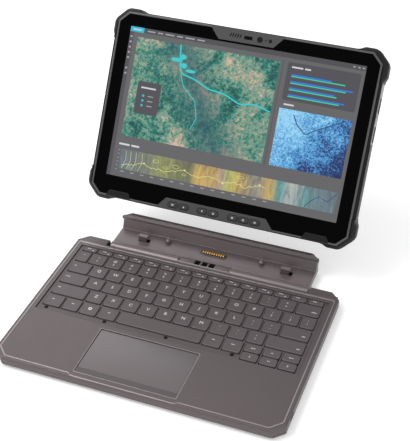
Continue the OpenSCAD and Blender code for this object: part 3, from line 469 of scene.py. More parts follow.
def glyphShape(text, size, thick=0.03):
    # the built-in font's outline as a thin closed shape round its own middle
    key = (text, size)
    if key not in glyphs:
        curve = bpy.data.curves.new("legend", "FONT")
        curve.body, curve.size, curve.extrude, curve.resolution_u = text, size, thick, 2
        curve.align_x, curve.align_y = "CENTER", "CENTER"
        holder = bpy.data.objects.new("legend", curve)
        bpy.context.scene.collection.objects.link(holder)
        bpy.context.view_layer.update()
        mesh = bpy.data.meshes.new_from_object(holder.evaluated_get(bpy.context.evaluated_depsgraph_get()))
        work = bmesh.new()
        work.from_mesh(mesh)
        bmesh.ops.remove_doubles(work, verts=work.verts, dist=0.001)
        verts = np.array([v.co for v in work.verts])
        faces = [[v.index for v in f.verts] for f in work.faces]
        work.free()
        verts[:, :2] -= (verts[:, :2].max(0) + verts[:, :2].min(0)) / 2
        bpy.data.objects.remove(holder)
        bpy.data.meshes.remove(mesh)
        bpy.data.curves.remove(curve)
        glyphs[key] = verts, faces
    return glyphs[key]


def addGlyph(heap, text, size, x, y, z, kind=1):
    # one printed letter or sign with its middle at the given place
    verts, faces = glyphShape(text, size)
    heap.add(verts + [x, y, z], faces, kind)


keySettings = {"pitch": 19.3, "gap": 2.5, "capHeight": 2.3, "corner": 1.9, "dish": 0.14, "legend": 5.6,
               "small": 3.9}


def keyCap(heap, x0, x1, y0, y1, top):
    # rounded rectangles drawn in towards the top, then a shallow dish down to the middle
    s = keySettings
    bottom = top - s["capHeight"]
    dishIn = 0.36 * min(x1 - x0, y1 - y0)
    rings = []
    for inset, z in ((0.25, bottom), (0.0, bottom + 0.5), (0.06, top - 0.75), (0.30, top - 0.22),
                     (0.75, top), (1.5, top - 0.03), (dishIn, top - s["dish"])):
        radius = max(s["corner"] - 0.5 * inset, 0.5)
        rings.append(flatRing(rectLoop(x0 + inset, x1 - inset, y0 + inset, y1 - inset, radius, 4), z, 2))
    heap.loft(rings)
    cx, cy = (x0 + x1) / 2, (y0 + y1) / 2
    boxShape(heap, cx - 1.8, cx + 1.8, cy - 1.8, cy + 1.8, bottom - 2.6, bottom + 0.1)


def strokes(heap, x, y, z, lengths, height=0.75, kind=1):
    # short bars in a line that stand for a word, centred on x
    total = sum(lengths) + 0.6 * (len(lengths) - 1)
    at = x - total / 2
    for length in lengths:
        boxShape(heap, at, at + length, y - height / 2, y + height / 2, z - 0.03, z + 0.03, 0.25, 0.01, kind)
        at += length + 0.6


def chevron(heap, x, y, z, turn, size=1.5, kind=1):
    # an open arrow head, turned by the given angle
    a = np.array([(-0.5, -1), (0.45, 0), (-0.5, 1), (-0.5, 0.55), (0.0, 0), (-0.5, -0.55)]) * size
    c, s = math.cos(turn), math.sin(turn)
    loop = a @ np.array([[c, s], [-s, c]]) + [x, y]
    padShape(heap, loop, z - 0.03, z + 0.03, 0.01, axis=2, kind=kind)


rows = {
    "number_keys": ([0.78] + [1] * 12 + [1.37], "`1234567890-="),
    "upper_letter_keys": ([1.28] + [1] * 12 + [0.87], " QWERTYUIOP[]\\"),
    "home_letter_keys": ([1.53] + [1] * 11 + [1.62], " ASDFGHJKL;'"),
    "lower_letter_keys": ([2.03] + [1] * 10 + [2.12], " ZXCVBNM,./"),
}
rowBody = {"function_keys": "function_row", "number_keys": "number_row",
           "upper_letter_keys": "upper_letter_row",
           "home_letter_keys": "home_letter_row", "lower_letter_keys": "lower_letter_row",
           "bottom_keys": "bottom_row", "space_bar": "space", "arrow_keys": "arrows"}
wordKeys = {"number_keys": {13: [5.2]}, "upper_letter_keys": {0: [2.6]},
            "home_letter_keys": {0: [2.4, 2.6], 12: [3.6]},
            "lower_letter_keys": {0: [3.4], 11: [3.4]}}
shiftMarks = "~!@#$%^&*()_+"


def rowPiece(name, heap):
    # all caps of one row as one piece on the body of that row
    finish(heap.piece(name.replace("_keys", "KeyCaps").replace("_bar", "BarCap"), [keyPlastic, legendInk],
                      smooth=40),
           rowBody[name], "key_cap", name)


print("keys")
keyGap, keyPitch = keySettings["gap"], keySettings["pitch"]
rowLeft = boxOf("number_keys")[0][0] - keyGap / 2
for name, (widths, legends) in rows.items():
    low, high = boxOf(name)
    heap = Heap()
    edges = rowLeft + np.concatenate([[0], np.cumsum(widths)]) * keyPitch
    z = high[2] - 0.10
    for n, (a, b) in enumerate(zip(edges[:-1], edges[1:])):
        keyCap(heap, a + keyGap / 2, b - keyGap / 2, low[1], high[1], high[2])
        cx, cy = (a + b) / 2, (low[1] + high[1]) / 2
        if n in wordKeys[name]:
            side = a + 6.0 if n == 0 else b - 6.5
            strokes(heap, side if n == 0 else side - 0.5, cy + (1.8 if n == 0 else -2.2), z,
                    wordKeys[name][n])
        elif n < len(legends) and legends[n] != " ":
            if name == "number_keys":
                addGlyph(heap, legends[n], keySettings["small"], cx - 0.4, cy - 2.4, z)
                addGlyph(heap, shiftMarks[n], keySettings["small"], cx - 0.4, cy + 2.8, z)
            elif legends[n].isalpha():
                addGlyph(heap, legends[n], keySettings["legend"], cx - 0.4, cy + 1.2, z)
            else:
                addGlyph(heap, legends[n], keySettings["small"], cx - 0.4, cy - 2.0, z)
                strokes(heap, cx - 0.4, cy + 2.8, z, [0.8])
    rowPiece(name, heap)

low, high = boxOf("function_keys")
heap = Heap()
functionPitch = (high[0] - low[0] + keyGap) / 15
for n in range(15):
    x = low[0] - keyGap / 2 + n * functionPitch
    keyCap(heap, x + keyGap / 2, x + functionPitch - keyGap / 2, low[1], high[1], high[2])
    cx, cy, z = x + functionPitch / 2, (low[1] + high[1]) / 2, high[2] - 0.08
    strokes(heap, cx - 1.6, cy + 1.1, z, [1.2, 1.9], 0.8)
    if n < 13:
        strokes(heap, cx + 3.6, cy - 1.3, z, [1.5], 1.2)
rowPiece("function_keys", heap)

low, high = boxOf("bottom_keys")
heap = Heap()
z = high[2] - 0.10
for n, (at, wide) in enumerate(((0, 1.1), (1.1, 1.0), (2.1, 1.05), (3.15, 1.1), (9.0, 1.07), (10.07, 1.07))):
    a, b = rowLeft + at * keyPitch + keyGap / 2, rowLeft + (at + wide) * keyPitch - keyGap / 2
    keyCap(heap, a, b, low[1], high[1], high[2])
    cx, cy = (a + b) / 2, (low[1] + high[1]) / 2
    if n == 2:  # the home key's plain round mark
        for radius, kind in ((2.0, 1), (0.9, 0)):
            padShape(heap, circleLoop(cx, cy + 0.8, radius, 20), z - 0.03, z + 0.03 + 0.01 * (1 - kind), 0.01,
                     axis=2, kind=kind)
    else:
        strokes(heap, cx - (2.0 if n == 0 else 0), cy + 1.6, z, [2.6] if n != 5 else [2.8, 0.8])
rowPiece("bottom_keys", heap)

low, high = boxOf("space_bar")
heap = Heap()
keyCap(heap, low[0], high[0], low[1], high[1], high[2])
rowPiece("space_bar", heap)

low, high = boxOf("arrow_keys")
heap = Heap()
z = high[2] - 0.08
arrowDeep = (high[1] - low[1] - 1.2) / 2
for column in range(3):
    a = low[0] - keyGap / 2 + column * keyPitch
    for line in range(2):
        y0 = low[1] + line * (arrowDeep + 1.2)
        keyCap(heap, a + keyGap / 2, a + keyPitch - keyGap / 2, y0, y0 + arrowDeep, high[2])
        cx, cy = a + keyPitch / 2, y0 + arrowDeep / 2
        if line == 0 or column == 1:
            turn = math.pi / 2 if line else (math.pi, -math.pi / 2, 0)[column]
            chevron(heap, cx, cy, z, turn)
        else:
            strokes(heap, cx, cy, z, [2.2, 1.6])
rowPiece("arrow_keys", heap)

# a plate between the caps, level with their lower half: bars along the rows and short bars across them
print("key web")
webSettings = {"below": 1.4, "thick": 1.3, "clear": 0.45, "screwRadius": 2.1, "screwY": -15.2,
               "screws": [-129.7, -64.7, 1.9, 71.3], "plugs": [-58.9, 19.3], "plugRadius": 1.3}
s = webSettings
webTop = boxOf("number_keys")[1][2] - s["below"]
plateLow, plateHigh = boxOf("key_plate")
heap = Heap()


def webBar(x0, x1, y0, y1, drop=0.0):
    # crossing bars sit at slightly different heights, so that no two faces coincide
    boxShape(heap, x0, x1, y0, y1, webTop - s["thick"] - drop, webTop - drop, 0.3, 0.15)


wellX, wellFront, wellRear = plateHigh[0] - 1.8, plateLow[1] + 1.25, plateHigh[1] - 1.25
across = [boxOf(n) for n in ("bottom_keys", "lower_letter_keys", "home_letter_keys", "upper_letter_keys",
                             "number_keys", "function_keys")]
for under, over in zip(across[:-1], across[1:]):
    webBar(-wellX, wellX, under[1][1] + s["clear"], over[0][1] - s["clear"])
arrowLeft = boxOf("arrow_keys")[0]
webBar(-wellX, arrowLeft[0] - s["clear"], wellFront, across[0][0][1] - s["clear"])
webBar(arrowLeft[0] - s["clear"], wellX, wellFront, arrowLeft[1] - s["clear"])
webBar(-wellX, wellX, across[-1][1][1] + s["clear"], wellRear)
fieldRight = across[4][1][0]
for side in (-1, 1):
    a, b = sorted((side * wellX, side * (fieldRight + s["clear"])))
    webBar(a, b, wellFront, wellRear, 0.03)
rowEdges = {4: rows["number_keys"][0], 3: rows["upper_letter_keys"][0], 2: rows["home_letter_keys"][0],
            1: rows["lower_letter_keys"][0]}
half = keyGap / 2 - s["clear"]
for index, widths in rowEdges.items():
    for edge in rowLeft + np.cumsum(widths)[:-1] * keyPitch:
        webBar(edge - half, edge + half, across[index][0][1] - 0.6, across[index][1][1] + 0.6, 0.06)
for n in range(1, 15):
    edge = across[5][0][0] - keyGap / 2 + n * functionPitch
    webBar(edge - half, edge + half, across[5][0][1] - 0.5, across[5][1][1] + 0.5, 0.06)
for at in (1.1, 2.1, 3.15, 4.25, 9.0, 10.07, 11.15, 12.15, 13.15):
    edge = rowLeft + at * keyPitch
    low = across[0][0][1] if at < 11 else arrowLeft[1]
    webBar(edge - half, edge + half, low - 0.6, across[0][1][1] + 0.6, 0.06)
plugY = (across[3][1][1] + across[4][0][1]) / 2
# the black discs of the screw holes are painted shade in them
spots = [(x, s["screwY"], s["screwRadius"], 0.03, 1) for x in s["screws"]]  # dark screw holes
spots += [(x, s["screwY"], 0.8, 0.05, 2) for x in s["screws"]]  # the screw head in each
spots += [(x, plugY, s["plugRadius"], s["below"] - 0.2, 1)
          for x in s["plugs"]]  # black plugs between two rows
for x, y, radius, rise, kind in spots:
    padShape(heap, circleLoop(x, y, radius, 24), webTop - 0.2, webTop + rise, 0.02, axis=2, kind=kind)
finish(heap.piece("keyWeb", [wellPlastic, shadeAndMarkBlack, screwBlack]), "keyboard", "keyboard_shell")

print("deck")
deckLow, deckHigh = boxOf("deck_frame")
baseLow, baseHigh = boxOf("base_cover")
halfWide, frontY, rearY = deckHigh[0], deckLow[1], baseHigh[1] + 0.3
deckTop = boxOf("touchpad")[1][2] + 0.6
deckSettings = {"corner": 12.0, "lineIn": 3.1, "lineWide": 1.5, "lineHigh": 0.34, "rearWide": 1.9}


stripX = boxOf("touchpad_strip")[0][0] - 1.0, boxOf("touchpad_strip")[1][0] + 1.0


def deckOutline(inset, rearInset, steps=5, step=0.0):
    # the deck's outline with its two front corners cut off, drawn in by the inset
    w, f, r, c = halfWide - inset, frontY + inset, rearY - rearInset, deckSettings["corner"] - 0.4 * inset
    corners = [(-w + c, f), (w - c, f), (w, f + c), (w, r), (-w, r), (-w, f + c)]
    if step:  # the line goes round the strip in front of the touchpad
        a, b = stripX
        corners[1:1] = [(a - 3.2, f), (a, f - step), (b, f - step), (b + 3.2, f)]
    return roundedLoop(corners, 2.2, steps)


s = deckSettings
lineRings = [(s["lineIn"] + 0.1, s["rearWide"], -0.05), (s["lineIn"] + 0.22, s["rearWide"], s["lineHigh"]),
             (s["lineIn"] + s["lineWide"] - 0.12, s["rearWide"] + 1.7, s["lineHigh"]),
             (s["lineIn"] + s["lineWide"], s["rearWide"] + 1.9, -0.05)]
# the raised line round the deck takes the lighter colour as a painted highlight
finish(ringPiece("deckEdgeLine",
                 [flatRing(deckOutline(a, b, step=2.6), deckTop + z, 2) for a, b, z in lineRings], lineHighlight),
       "keyboard", "dock_bright")

# a rounded outer edge that carries the light round the deck
edgeRings = [(0.55, 0.55, 0.03), (-0.04, -0.04, -0.62), (-0.22, -0.22, -1.4), (-0.25, -0.25, -4.6),
             (0.4, 0.4, -4.7), (1.2, 1.2, -0.8)]
finish(ringPiece("deckOuterEdge",
                 [flatRing(deckOutline(a, b, 7), deckTop - 0.35 + z, 2) for a, b, z in edgeRings],
                 deckPlastic, smooth=50),
       "keyboard", "keyboard_shell")

insertLow, insertHigh = boxOf("side_insert")
heap = Heap()
boxShape(heap, halfWide - 0.5, halfWide + 0.45, insertLow[1] - 0.6, insertHigh[1] + 0.6, insertLow[2] - 0.2,
         insertHigh[2] + 0.5, 0.3, 0.2)
finish(heap.piece("sideSocket", blackRubber), "keyboard", "black_rubber", "side_insert")

low, high = boxOf("touchpad")
padLoops = [(0.0, low[2]), (0.0, high[2] - 0.3), (0.12, high[2] - 0.08), (0.4, high[2])]
finish(loftPiece("touchpadPlate",
                 [flatRing(rectLoop(low[0] + a, high[0] - a, low[1] + a, high[1] - a, 1.6, 6), z, 2)
                                   for a, z in padLoops], padPlastic),
       "touchpad", "pad_surface", "touchpad")
stripLow, stripHigh = boxOf("touchpad_strip")
frameRings = [(0.0, 0.0), (0.08, 0.22), (-0.55, 0.22), (-0.7, 0.0)]
# the ring round the touchpad takes the lighter colour as a painted highlight
finish(ringPiece("touchpadSurround",
                 [flatRing(rectLoop(low[0] - 0.4 + a, high[0] + 0.4 - a, stripLow[1] + a, high[1] + 0.4 - a,
                                    1.2, 5),
                                               deckTop - 0.02 + z, 2) for a, z in frameRings], lineHighlight),
       "keyboard", "dock_bright")

# The dock bar.

print("dock")
dockLow, dockHigh = boxOf("dock_barrel")
coverLow, coverHigh = boxOf("dock_center_cover")
barrelRadius = (dockHigh[2] - dockLow[2]) / 2
circle = circleLoop(hingeY, hingeZ, barrelRadius, 72)
flat = circle.copy()
flat[:, 1] = np.where(flat[:, 0] > hingeY - 3.2, np.minimum(flat[:, 1], hingeZ + 0.85), flat[:, 1])
heap = Heap()
# the thin black neck stands for the gap beside the left ear, as painted shade
neck = [hingeY, hingeZ] + (circle - [hingeY, hingeZ]) * 0.6  # a dark neck beside the left ear
barAlongX(heap, neck, dockLow[0], dockLow[0] + 3.0, 0.1, kind=1)
barAlongX(heap, circle, dockLow[0] + 2.6, coverLow[0] - 0.3, 0.7)
barAlongX(heap, circle, coverHigh[0] + 0.3, dockHigh[0], 0.7)
barAlongX(heap, flat, coverLow[0] - 0.4, coverHigh[0] + 0.4, 0.1)
for x in (dockLow[0] + 7.0, dockHigh[0] - 5.0):  # raised collars near the ends
    collar = [hingeY, hingeZ] + (circle - [hingeY, hingeZ]) * 1.02
    barAlongX(heap, collar, x - 0.7, x + 0.7, 0.1)
finish(heap.piece("dockBarrelSkin", [barrelMetal, shadeAndMarkBlack], smooth=25), "dock", "dock_bright",
       "dock_barrel")

capLow, capHigh = boxOf("dock_back_cap")
grooveCount = 5
grooves = [(capLow[1] + 1.5 + 1.45 * n + d, capHigh[2] - z)
           for n in range(grooveCount) for d, z in ((0, 0), (0.12, 0.42), (0.5, 0.42), (0.62, 0))]
capProfile = [(capLow[1], capLow[2]), (capLow[1], capHigh[2] - 1.0), (capLow[1] + 0.9, capHigh[2])] + grooves
capProfile += [(capHigh[1] - 2.0, capHigh[2]), (capHigh[1] - 0.6, capHigh[2] - 0.7),
               (capHigh[1], capHigh[2] - 2.4),
               (capHigh[1], capLow[2])]
capProfile = np.array(capProfile)
cut = 8.0
reach = np.array([min(1.0, max(0.0, (capHigh[1] - y) / (cut * 0.6))) for y in capProfile[:, 0]])
half = capHigh[0] - cut * (1 - reach)
xs = np.array([-1.0, -0.985, 0.985, 1.0])
rings = [np.stack([x * half, capProfile[:, 0],
                   capProfile[:, 1] - 0.35 * (abs(x) == 1.0) * (capProfile[:, 1] > capLow[2] + 1)], -1)
         for x in xs]
finish(loftPiece("dockWallCap", rings, dockPlastic, smooth=25), "dock", "dock_plastic", "dock_back_cap")

chassisLow, chassisHigh = boxOf("dock_chassis")
floorZ = boxOf("contact_block")[1][2] - 1.0
wallFoot = glassY + tabletThick + 0.5
heap = Heap()
# the seam lines in the floor take the lighter colour as a painted highlight
barAlongX(heap, [(wallFoot - 0.55, floorZ - 0.1), (wallFoot - 0.5, floorZ + 0.16), (wallFoot, floorZ + 0.24),
                 (wallFoot + 0.1, floorZ - 0.1)],
          chassisLow[0] + 1, chassisHigh[0] - 1, 0.1)
barAlongX(heap, [(hingeY + 7.9, floorZ - 0.1), (hingeY + 8.0, floorZ + 0.10), (hingeY + 8.5, floorZ + 0.10),
                 (hingeY + 8.6, floorZ - 0.1)],
          coverHigh[0] + 1, chassisHigh[0] - 4, 0.1)
finish(heap.piece("dockSeams", lineHighlight), "dock", "dock_bright")

coverSettings = {"cuts": [-13.9, -5.7, 2.5], "cutWide": 6.5, "rear": 111.9}
s = coverSettings
profile = [(hingeY - 2.9, hingeZ + 0.9), (hingeY - 2.9, hingeZ + 3.3), (hingeY - 2.2, hingeZ + 4.0),
           (hingeY + 0.6, hingeZ + 4.1),
           (hingeY + 3.2, hingeZ + 3.5), (s["rear"] - 0.8, floorZ + 0.9), (s["rear"], floorZ + 0.2),
           (s["rear"], hingeZ + 0.9)]
heap = Heap()
ends = [coverLow[0]] + [x + d for x in s["cuts"] for d in (0, s["cutWide"])] + [coverHigh[0]]
for a, b in zip(ends[0::2], ends[1::2]):
    barAlongX(heap, profile, a, b, 0.25)
# a black bar under the cover, seen through its cuts as painted shade
low = [(hingeY - 2.8, hingeZ + 0.9), (hingeY - 2.8, hingeZ + 1.5), (s["rear"] - 1.5, floorZ + 0.05),
       (s["rear"] - 1.5, hingeZ + 0.9)]
barAlongX(heap, low, ends[1] - 0.4, ends[-2] + 0.4, 0.1, kind=1)
front = [(hingeY - 2.9, hingeZ + 0.9), (hingeY - 2.9, hingeZ + 3.0), (hingeY - 1.9, hingeZ + 3.5),
         (hingeY - 1.5, hingeZ + 0.9)]
barAlongX(heap, front, ends[1] - 0.4, ends[-2] + 0.4, 0.1)
finish(heap.piece("hingeCover", [dockPlastic, shadeAndMarkBlack], smooth=35), "dock", "dock_plastic",
       "dock_center_cover")

heap = Heap()
hookLow, hookHigh = boxOf("latch_hooks")
hookY = (hookLow[1] + hookHigh[1]) / 2
# the black patches are painted shade in the floor slots round the hooks
for x in (hookLow[0] + 4.5, hookHigh[0] - 6.7):  # dark slots in the floor round the hooks
    boxShape(heap, x - 5.0, x + 8.0, hookY - 2.8, hookY + 2.8, floorZ - 0.2, floorZ + 0.04, 0.6, 0.02)
finish(heap.piece("hookSlots", shadeAndMarkBlack), "dock", "dock_plastic")

heap = Heap()
for side in (-1, 1):  # printed arrows and dashes on the floor beside the guide pins
    for n in range(3):
        boxShape(heap, side * 38 + n * 1.9 - 2, side * 38 + n * 1.9 - 0.9, wallFoot - 6.2, wallFoot - 5.7,
                 floorZ - 0.02, floorZ + 0.04, 0.1, 0.01)
finish(heap.piece("dockMarks", shadeAndMarkBlack), "dock", "dock_plastic")

blockLow, blockHigh = boxOf("contact_block")
middleY = (blockLow[1] + blockHigh[1]) / 2
ringLoops = [(1.1, -0.05), (1.0, 0.30), (0.25, 0.42), (0.0, 0.1)]
heap = Heap()
pinLow, pinHigh = boxOf("contact_pins")
for n in range(10):
    x = pinLow[0] + 0.55 + n * (pinHigh[0] - pinLow[0] - 1.1) / 9
    rings = [flatRing(rectLoop(x - w, x + w, middleY - d, middleY + d, 0.3, 3), z, 2)
             for w, d, z in ((0.78, 2.1, floorZ - 0.6), (0.78, 2.1, pinHigh[2] - 0.5),
                             (0.62, 1.9, pinHigh[2] - 0.1), (0.35, 1.5, pinHigh[2]))]
    heap.loft(rings)
finish(heap.piece("contactBlades", contactGold, smooth=45), "contacts", "contact_gold", "contact_pins")
heap = Heap()
# a black patch on the block's top, painted shade in its recess
padShape(heap, rectLoop(blockLow[0] + 1.0, blockHigh[0] - 1.0, blockLow[1] + 1.0, blockHigh[1] - 1.0, 3.0, 8),
         blockHigh[2] - 0.2,
         blockHigh[2] + 0.03, 0.02, axis=2)
finish(heap.piece("contactRecess", shadeAndMarkBlack), "dock", "pad_strip")
finish(ringPiece("contactSurround",
                 [flatRing(rectLoop(blockLow[0] - a, blockHigh[0] + a, blockLow[1] - a, blockHigh[1] + a,
                                    4 + a, 9),
                                              floorZ + z, 2) for a, z in ringLoops], dockBright), "dock",
       "dock_bright")

# The tablet.

print("tablet")
bezelRings = [(295.0, 0, 202, 12, 7.0), (295.0, 0, 202, 12, 3.9), (294.2, 0.4, 201.6, 11.8, 3.25),
              (292.2, 0.6, 201.4, 11.5, 3.1),
              (291.9, 0.75, 201.25, 11.4, 2.0), (290.6, 1.0, 201.0, 11.0, 1.5),
              (289.1, 1.15, 200.85, 10.6, 1.35),
              (288.8, 1.2, 200.8, 10.5, -0.2), (288.0, 1.6, 200.4, 10.3, -0.7),
              (285.2, 3.0, 199.0, 9.7, -0.75),
              (284.4, 3.4, 198.6, 9.5, -0.4), (284.2, 3.5, 198.5, 9.45, 0.3), (284.2, 3.5, 198.5, 9.45, 7.0)]
rings = [flatRing(octagonLoop(w, a, b, c, 1.6, 6), d, 1) for w, a, b, c, d in bezelRings]
heap = Heap()
around = len(rings[0])
faces = ringFaces(len(rings), around)
# the lip's faces are lighter as a painted highlight along the glass edge
rimHighlightKind = [int(7 <= n // around <= 8) for n in range(len(faces))]  # the raised rim's own face is lighter
finish(makeMesh("frontBezel", np.concatenate(rings), faces, [frameGrey, rimHighlightGrey], onTablet,
                faceMaterial=rimHighlightKind, smooth=35),
       "tablet", "tablet_frame", "front_frame")

bumperSettings = {"proud": 3.0, "reach": 31.0, "cut": 12.0, "slotHalf": 5.2, "slotDepth": (9.5, 14.5),
                  "samples": 110}


def bumperPiece(name, side, top, node):
    # a path round the cut-off corner carries a closed profile in depth; its height fades at both ends
    s = bumperSettings
    w, h, c = tabletWide / 2, tabletTall, s["cut"]
    line = roundedLoop([(w - s["reach"], h), (w - c, h), (w, h - c), (w, h - s["reach"])],
                       [0.01, 7.0, 7.0, 0.01], 14)
    line = line[14:-14]
    line = np.vstack([[w - s["reach"], h], line, [w, h - s["reach"]]])
    step = np.linalg.norm(np.diff(line, axis=0), axis=1)
    along = np.concatenate([[0], np.cumsum(step)])
    u = np.linspace(0, along[-1], s["samples"])
    path = np.stack([np.interp(u, along, line[:, 0]), np.interp(u, along, line[:, 1])], -1)
    tangent = np.gradient(path, axis=0)
    tangent /= np.linalg.norm(tangent, axis=1, keepdims=True)
    out = np.stack([-tangent[:, 1], tangent[:, 0]], -1)
    end = np.minimum(u, along[-1] - u)
    fade = np.clip(end / 8.0, 0, 1) ** 2 * (3 - 2 * np.clip(end / 8.0, 0, 1))
    depth = np.concatenate([np.linspace(0.6, 24.0, 52), [24.0, 0.6]])
    crown = np.interp(depth[:52], [0.6, 1.0, 2.6, 4.4, 9.0, 17.0, 19.6, 22.4, 24.0],
                      [-0.9, 0.15, 1.5, 3.0, 3.0, 3.0, 2.6, 1.1, 0.0])
    groove = 0.45 * np.exp(-((depth[:52] - 6.9) / 0.45) ** 2) + 0.45 * np.exp(-((depth[:52] - 17.3) / 0.45) ** 2)
    height = (crown[None] - groove[None]) * (0.08 + 0.92 * fade[:, None])
    inside = np.abs(u - along[-1] / 2)[:, None] < s["slotHalf"]
    slotAt = (depth[None, :52] > s["slotDepth"][0]) & (depth[None, :52] < s["slotDepth"][1]) & inside
    height = np.where(slotAt, -1.6, height)
    height = np.hstack([height, np.full((len(u), 2), -2.2)])
    flip = 1 if top else -1
    x = side * (path[:, :1] - out[:, :1] * -1 * height)
    z = path[:, 1:] + out[:, 1:] * height
    z = z if flip == 1 else h - z
    verts = np.stack([x, np.broadcast_to(depth[None], x.shape), z], -1).reshape(-1, 3)
    faces = loftFaces(len(u), len(depth))
    flatSlot = np.hstack([slotAt, np.zeros((len(u), 2), bool)]).ravel()
    # the faces of the slot pocket are black, as painted shade in it
    kinds = [int(flatSlot[f].mean() > 0.9) if len(f) == 4 else 0 for f in faces]
    piece = makeMesh(name, verts, faces, [bumperRubber, shadeAndMarkBlack], onTablet, faceMaterial=kinds, smooth=38)
    finish(piece, "tablet", "bumper_rubber", node)


bumperPiece("cornerTopLeft", -1, True, "bumper_top_left")
bumperPiece("cornerTopRight", 1, True, "bumper_top_right")
bumperPiece("cornerBottomLeft", -1, False, "bumper_bottom_left")
bumperPiece("cornerBottomRight", 1, False, "bumper_bottom_right")


def sideRing(loop, x):
    # an outline in depth and height, set at one place across the tablet
    return np.hstack([np.full((len(loop), 1), float(x)), loop])


sideSettings = {"from": 3.4, "to": 18.4, "raise": 0.3}


def sidePanel(name, side, z0, z1, material, holes=()):
    # a thin plate with bevelled edges, ringed round its hole where a port sits in it
    s = sideSettings
    x = tabletWide / 2
    if holes:
        outer = lambda inset: rectLoop(s["from"] + inset, s["to"] - inset, z0 + inset, z1 - inset, 0.8, 6)
        inner = lambda inset: rectLoop(holes[0] - inset, holes[1] + inset, holes[2] - inset, holes[3] + inset,
                                       0.8, 6)
        rings = [sideRing(outer(0), side * (x - 0.6)), sideRing(outer(0), side * (x + 0.12)),
                 sideRing(outer(0.25), side * (x + s["raise"])),
                 sideRing(inner(0.5), side * (x + s["raise"])), sideRing(inner(0.1), side * (x - 0.1)),
                 sideRing(inner(0.1), side * (x - 0.6))]
        piece = ringPiece(name, rings, material, onTablet, 30)
    else:
        outer = lambda inset: rectLoop(s["from"] + inset, s["to"] - inset, z0 + inset, z1 - inset, 0.8, 6)
        rings = [sideRing(outer(0), side * (x - 0.6)), sideRing(outer(0), side * (x + 0.12)),
                 sideRing(outer(0.25), side * (x + s["raise"]))]
        piece = loftPiece(name, rings, material, onTablet, smooth=30)
    return finish(piece, "tablet", "tablet_shell")


# the two upper panels on the right are lighter as a painted sheen; the lower one and the left side keep the dark
# frame colour
sidePanel("sidePanelLow", 1, 30.6, 108.6, frameGrey)
sidePanel("sidePanelMiddle", 1, 109.2, 137.6, sideSheenMetal, (8.0, 16.0, 111.4, 127.4))
sidePanel("sidePanelHigh", 1, 138.2, 171.4, sideSheenMetal, (8.0, 16.0, 141.2, 157.2))
sidePanel("leftPanelLow", -1, 30.6, 108.6, frameGrey)
sidePanel("leftPanelHigh", -1, 109.2, 171.4, frameGrey)

portCoverSettings = {"from": 8.4, "to": 13.4, "halfLong": 7.6, "pinIn": 1.1, "pinDepth": 14.4,
                     "pinRadius": 0.85,
                     "upper": 149.2, "lower": 119.4}
s = portCoverSettings
for place in ("upper", "lower"):  # a lid, the leaf behind it and the knuckle it turns on
    z, x = s[place], tabletWide / 2
    heap = Heap()
    loops = [(0.0, -1.5), (0.0, -0.4), (0.35, -0.16), (0.9, -0.12), (1.3, -0.5)]
    rings = [sideRing(rectLoop(s["from"] + a, s["to"] - a * 0.6, z - s["halfLong"] + a, z + s["halfLong"] - a,
                               [1.8, 0.7, 0.7, 1.8], 6), x + d)
             for a, d in loops]
    heap.loft(rings)
    rings = [sideRing(rectLoop(s["to"] - 0.3, s["pinDepth"], z - 7.2, z + 7.2, 0.1, 2), x + d)
             for d in (-1.3, -0.6)]
    heap.loft(rings)
    rings = [flatRing(circleLoop(x - s["pinIn"], s["pinDepth"], r, 28), z + d, 2)
             for r, d in ((0.6, -7.5), (s["pinRadius"], -7.2), (s["pinRadius"], 7.2), (0.6, 7.5))]
    heap.loft(rings)
    finish(heap.piece("portCover" + place.capitalize(), blackRubber, onTablet), "port_door_" + place,
           "black_rubber",
           "port_door_" + place)

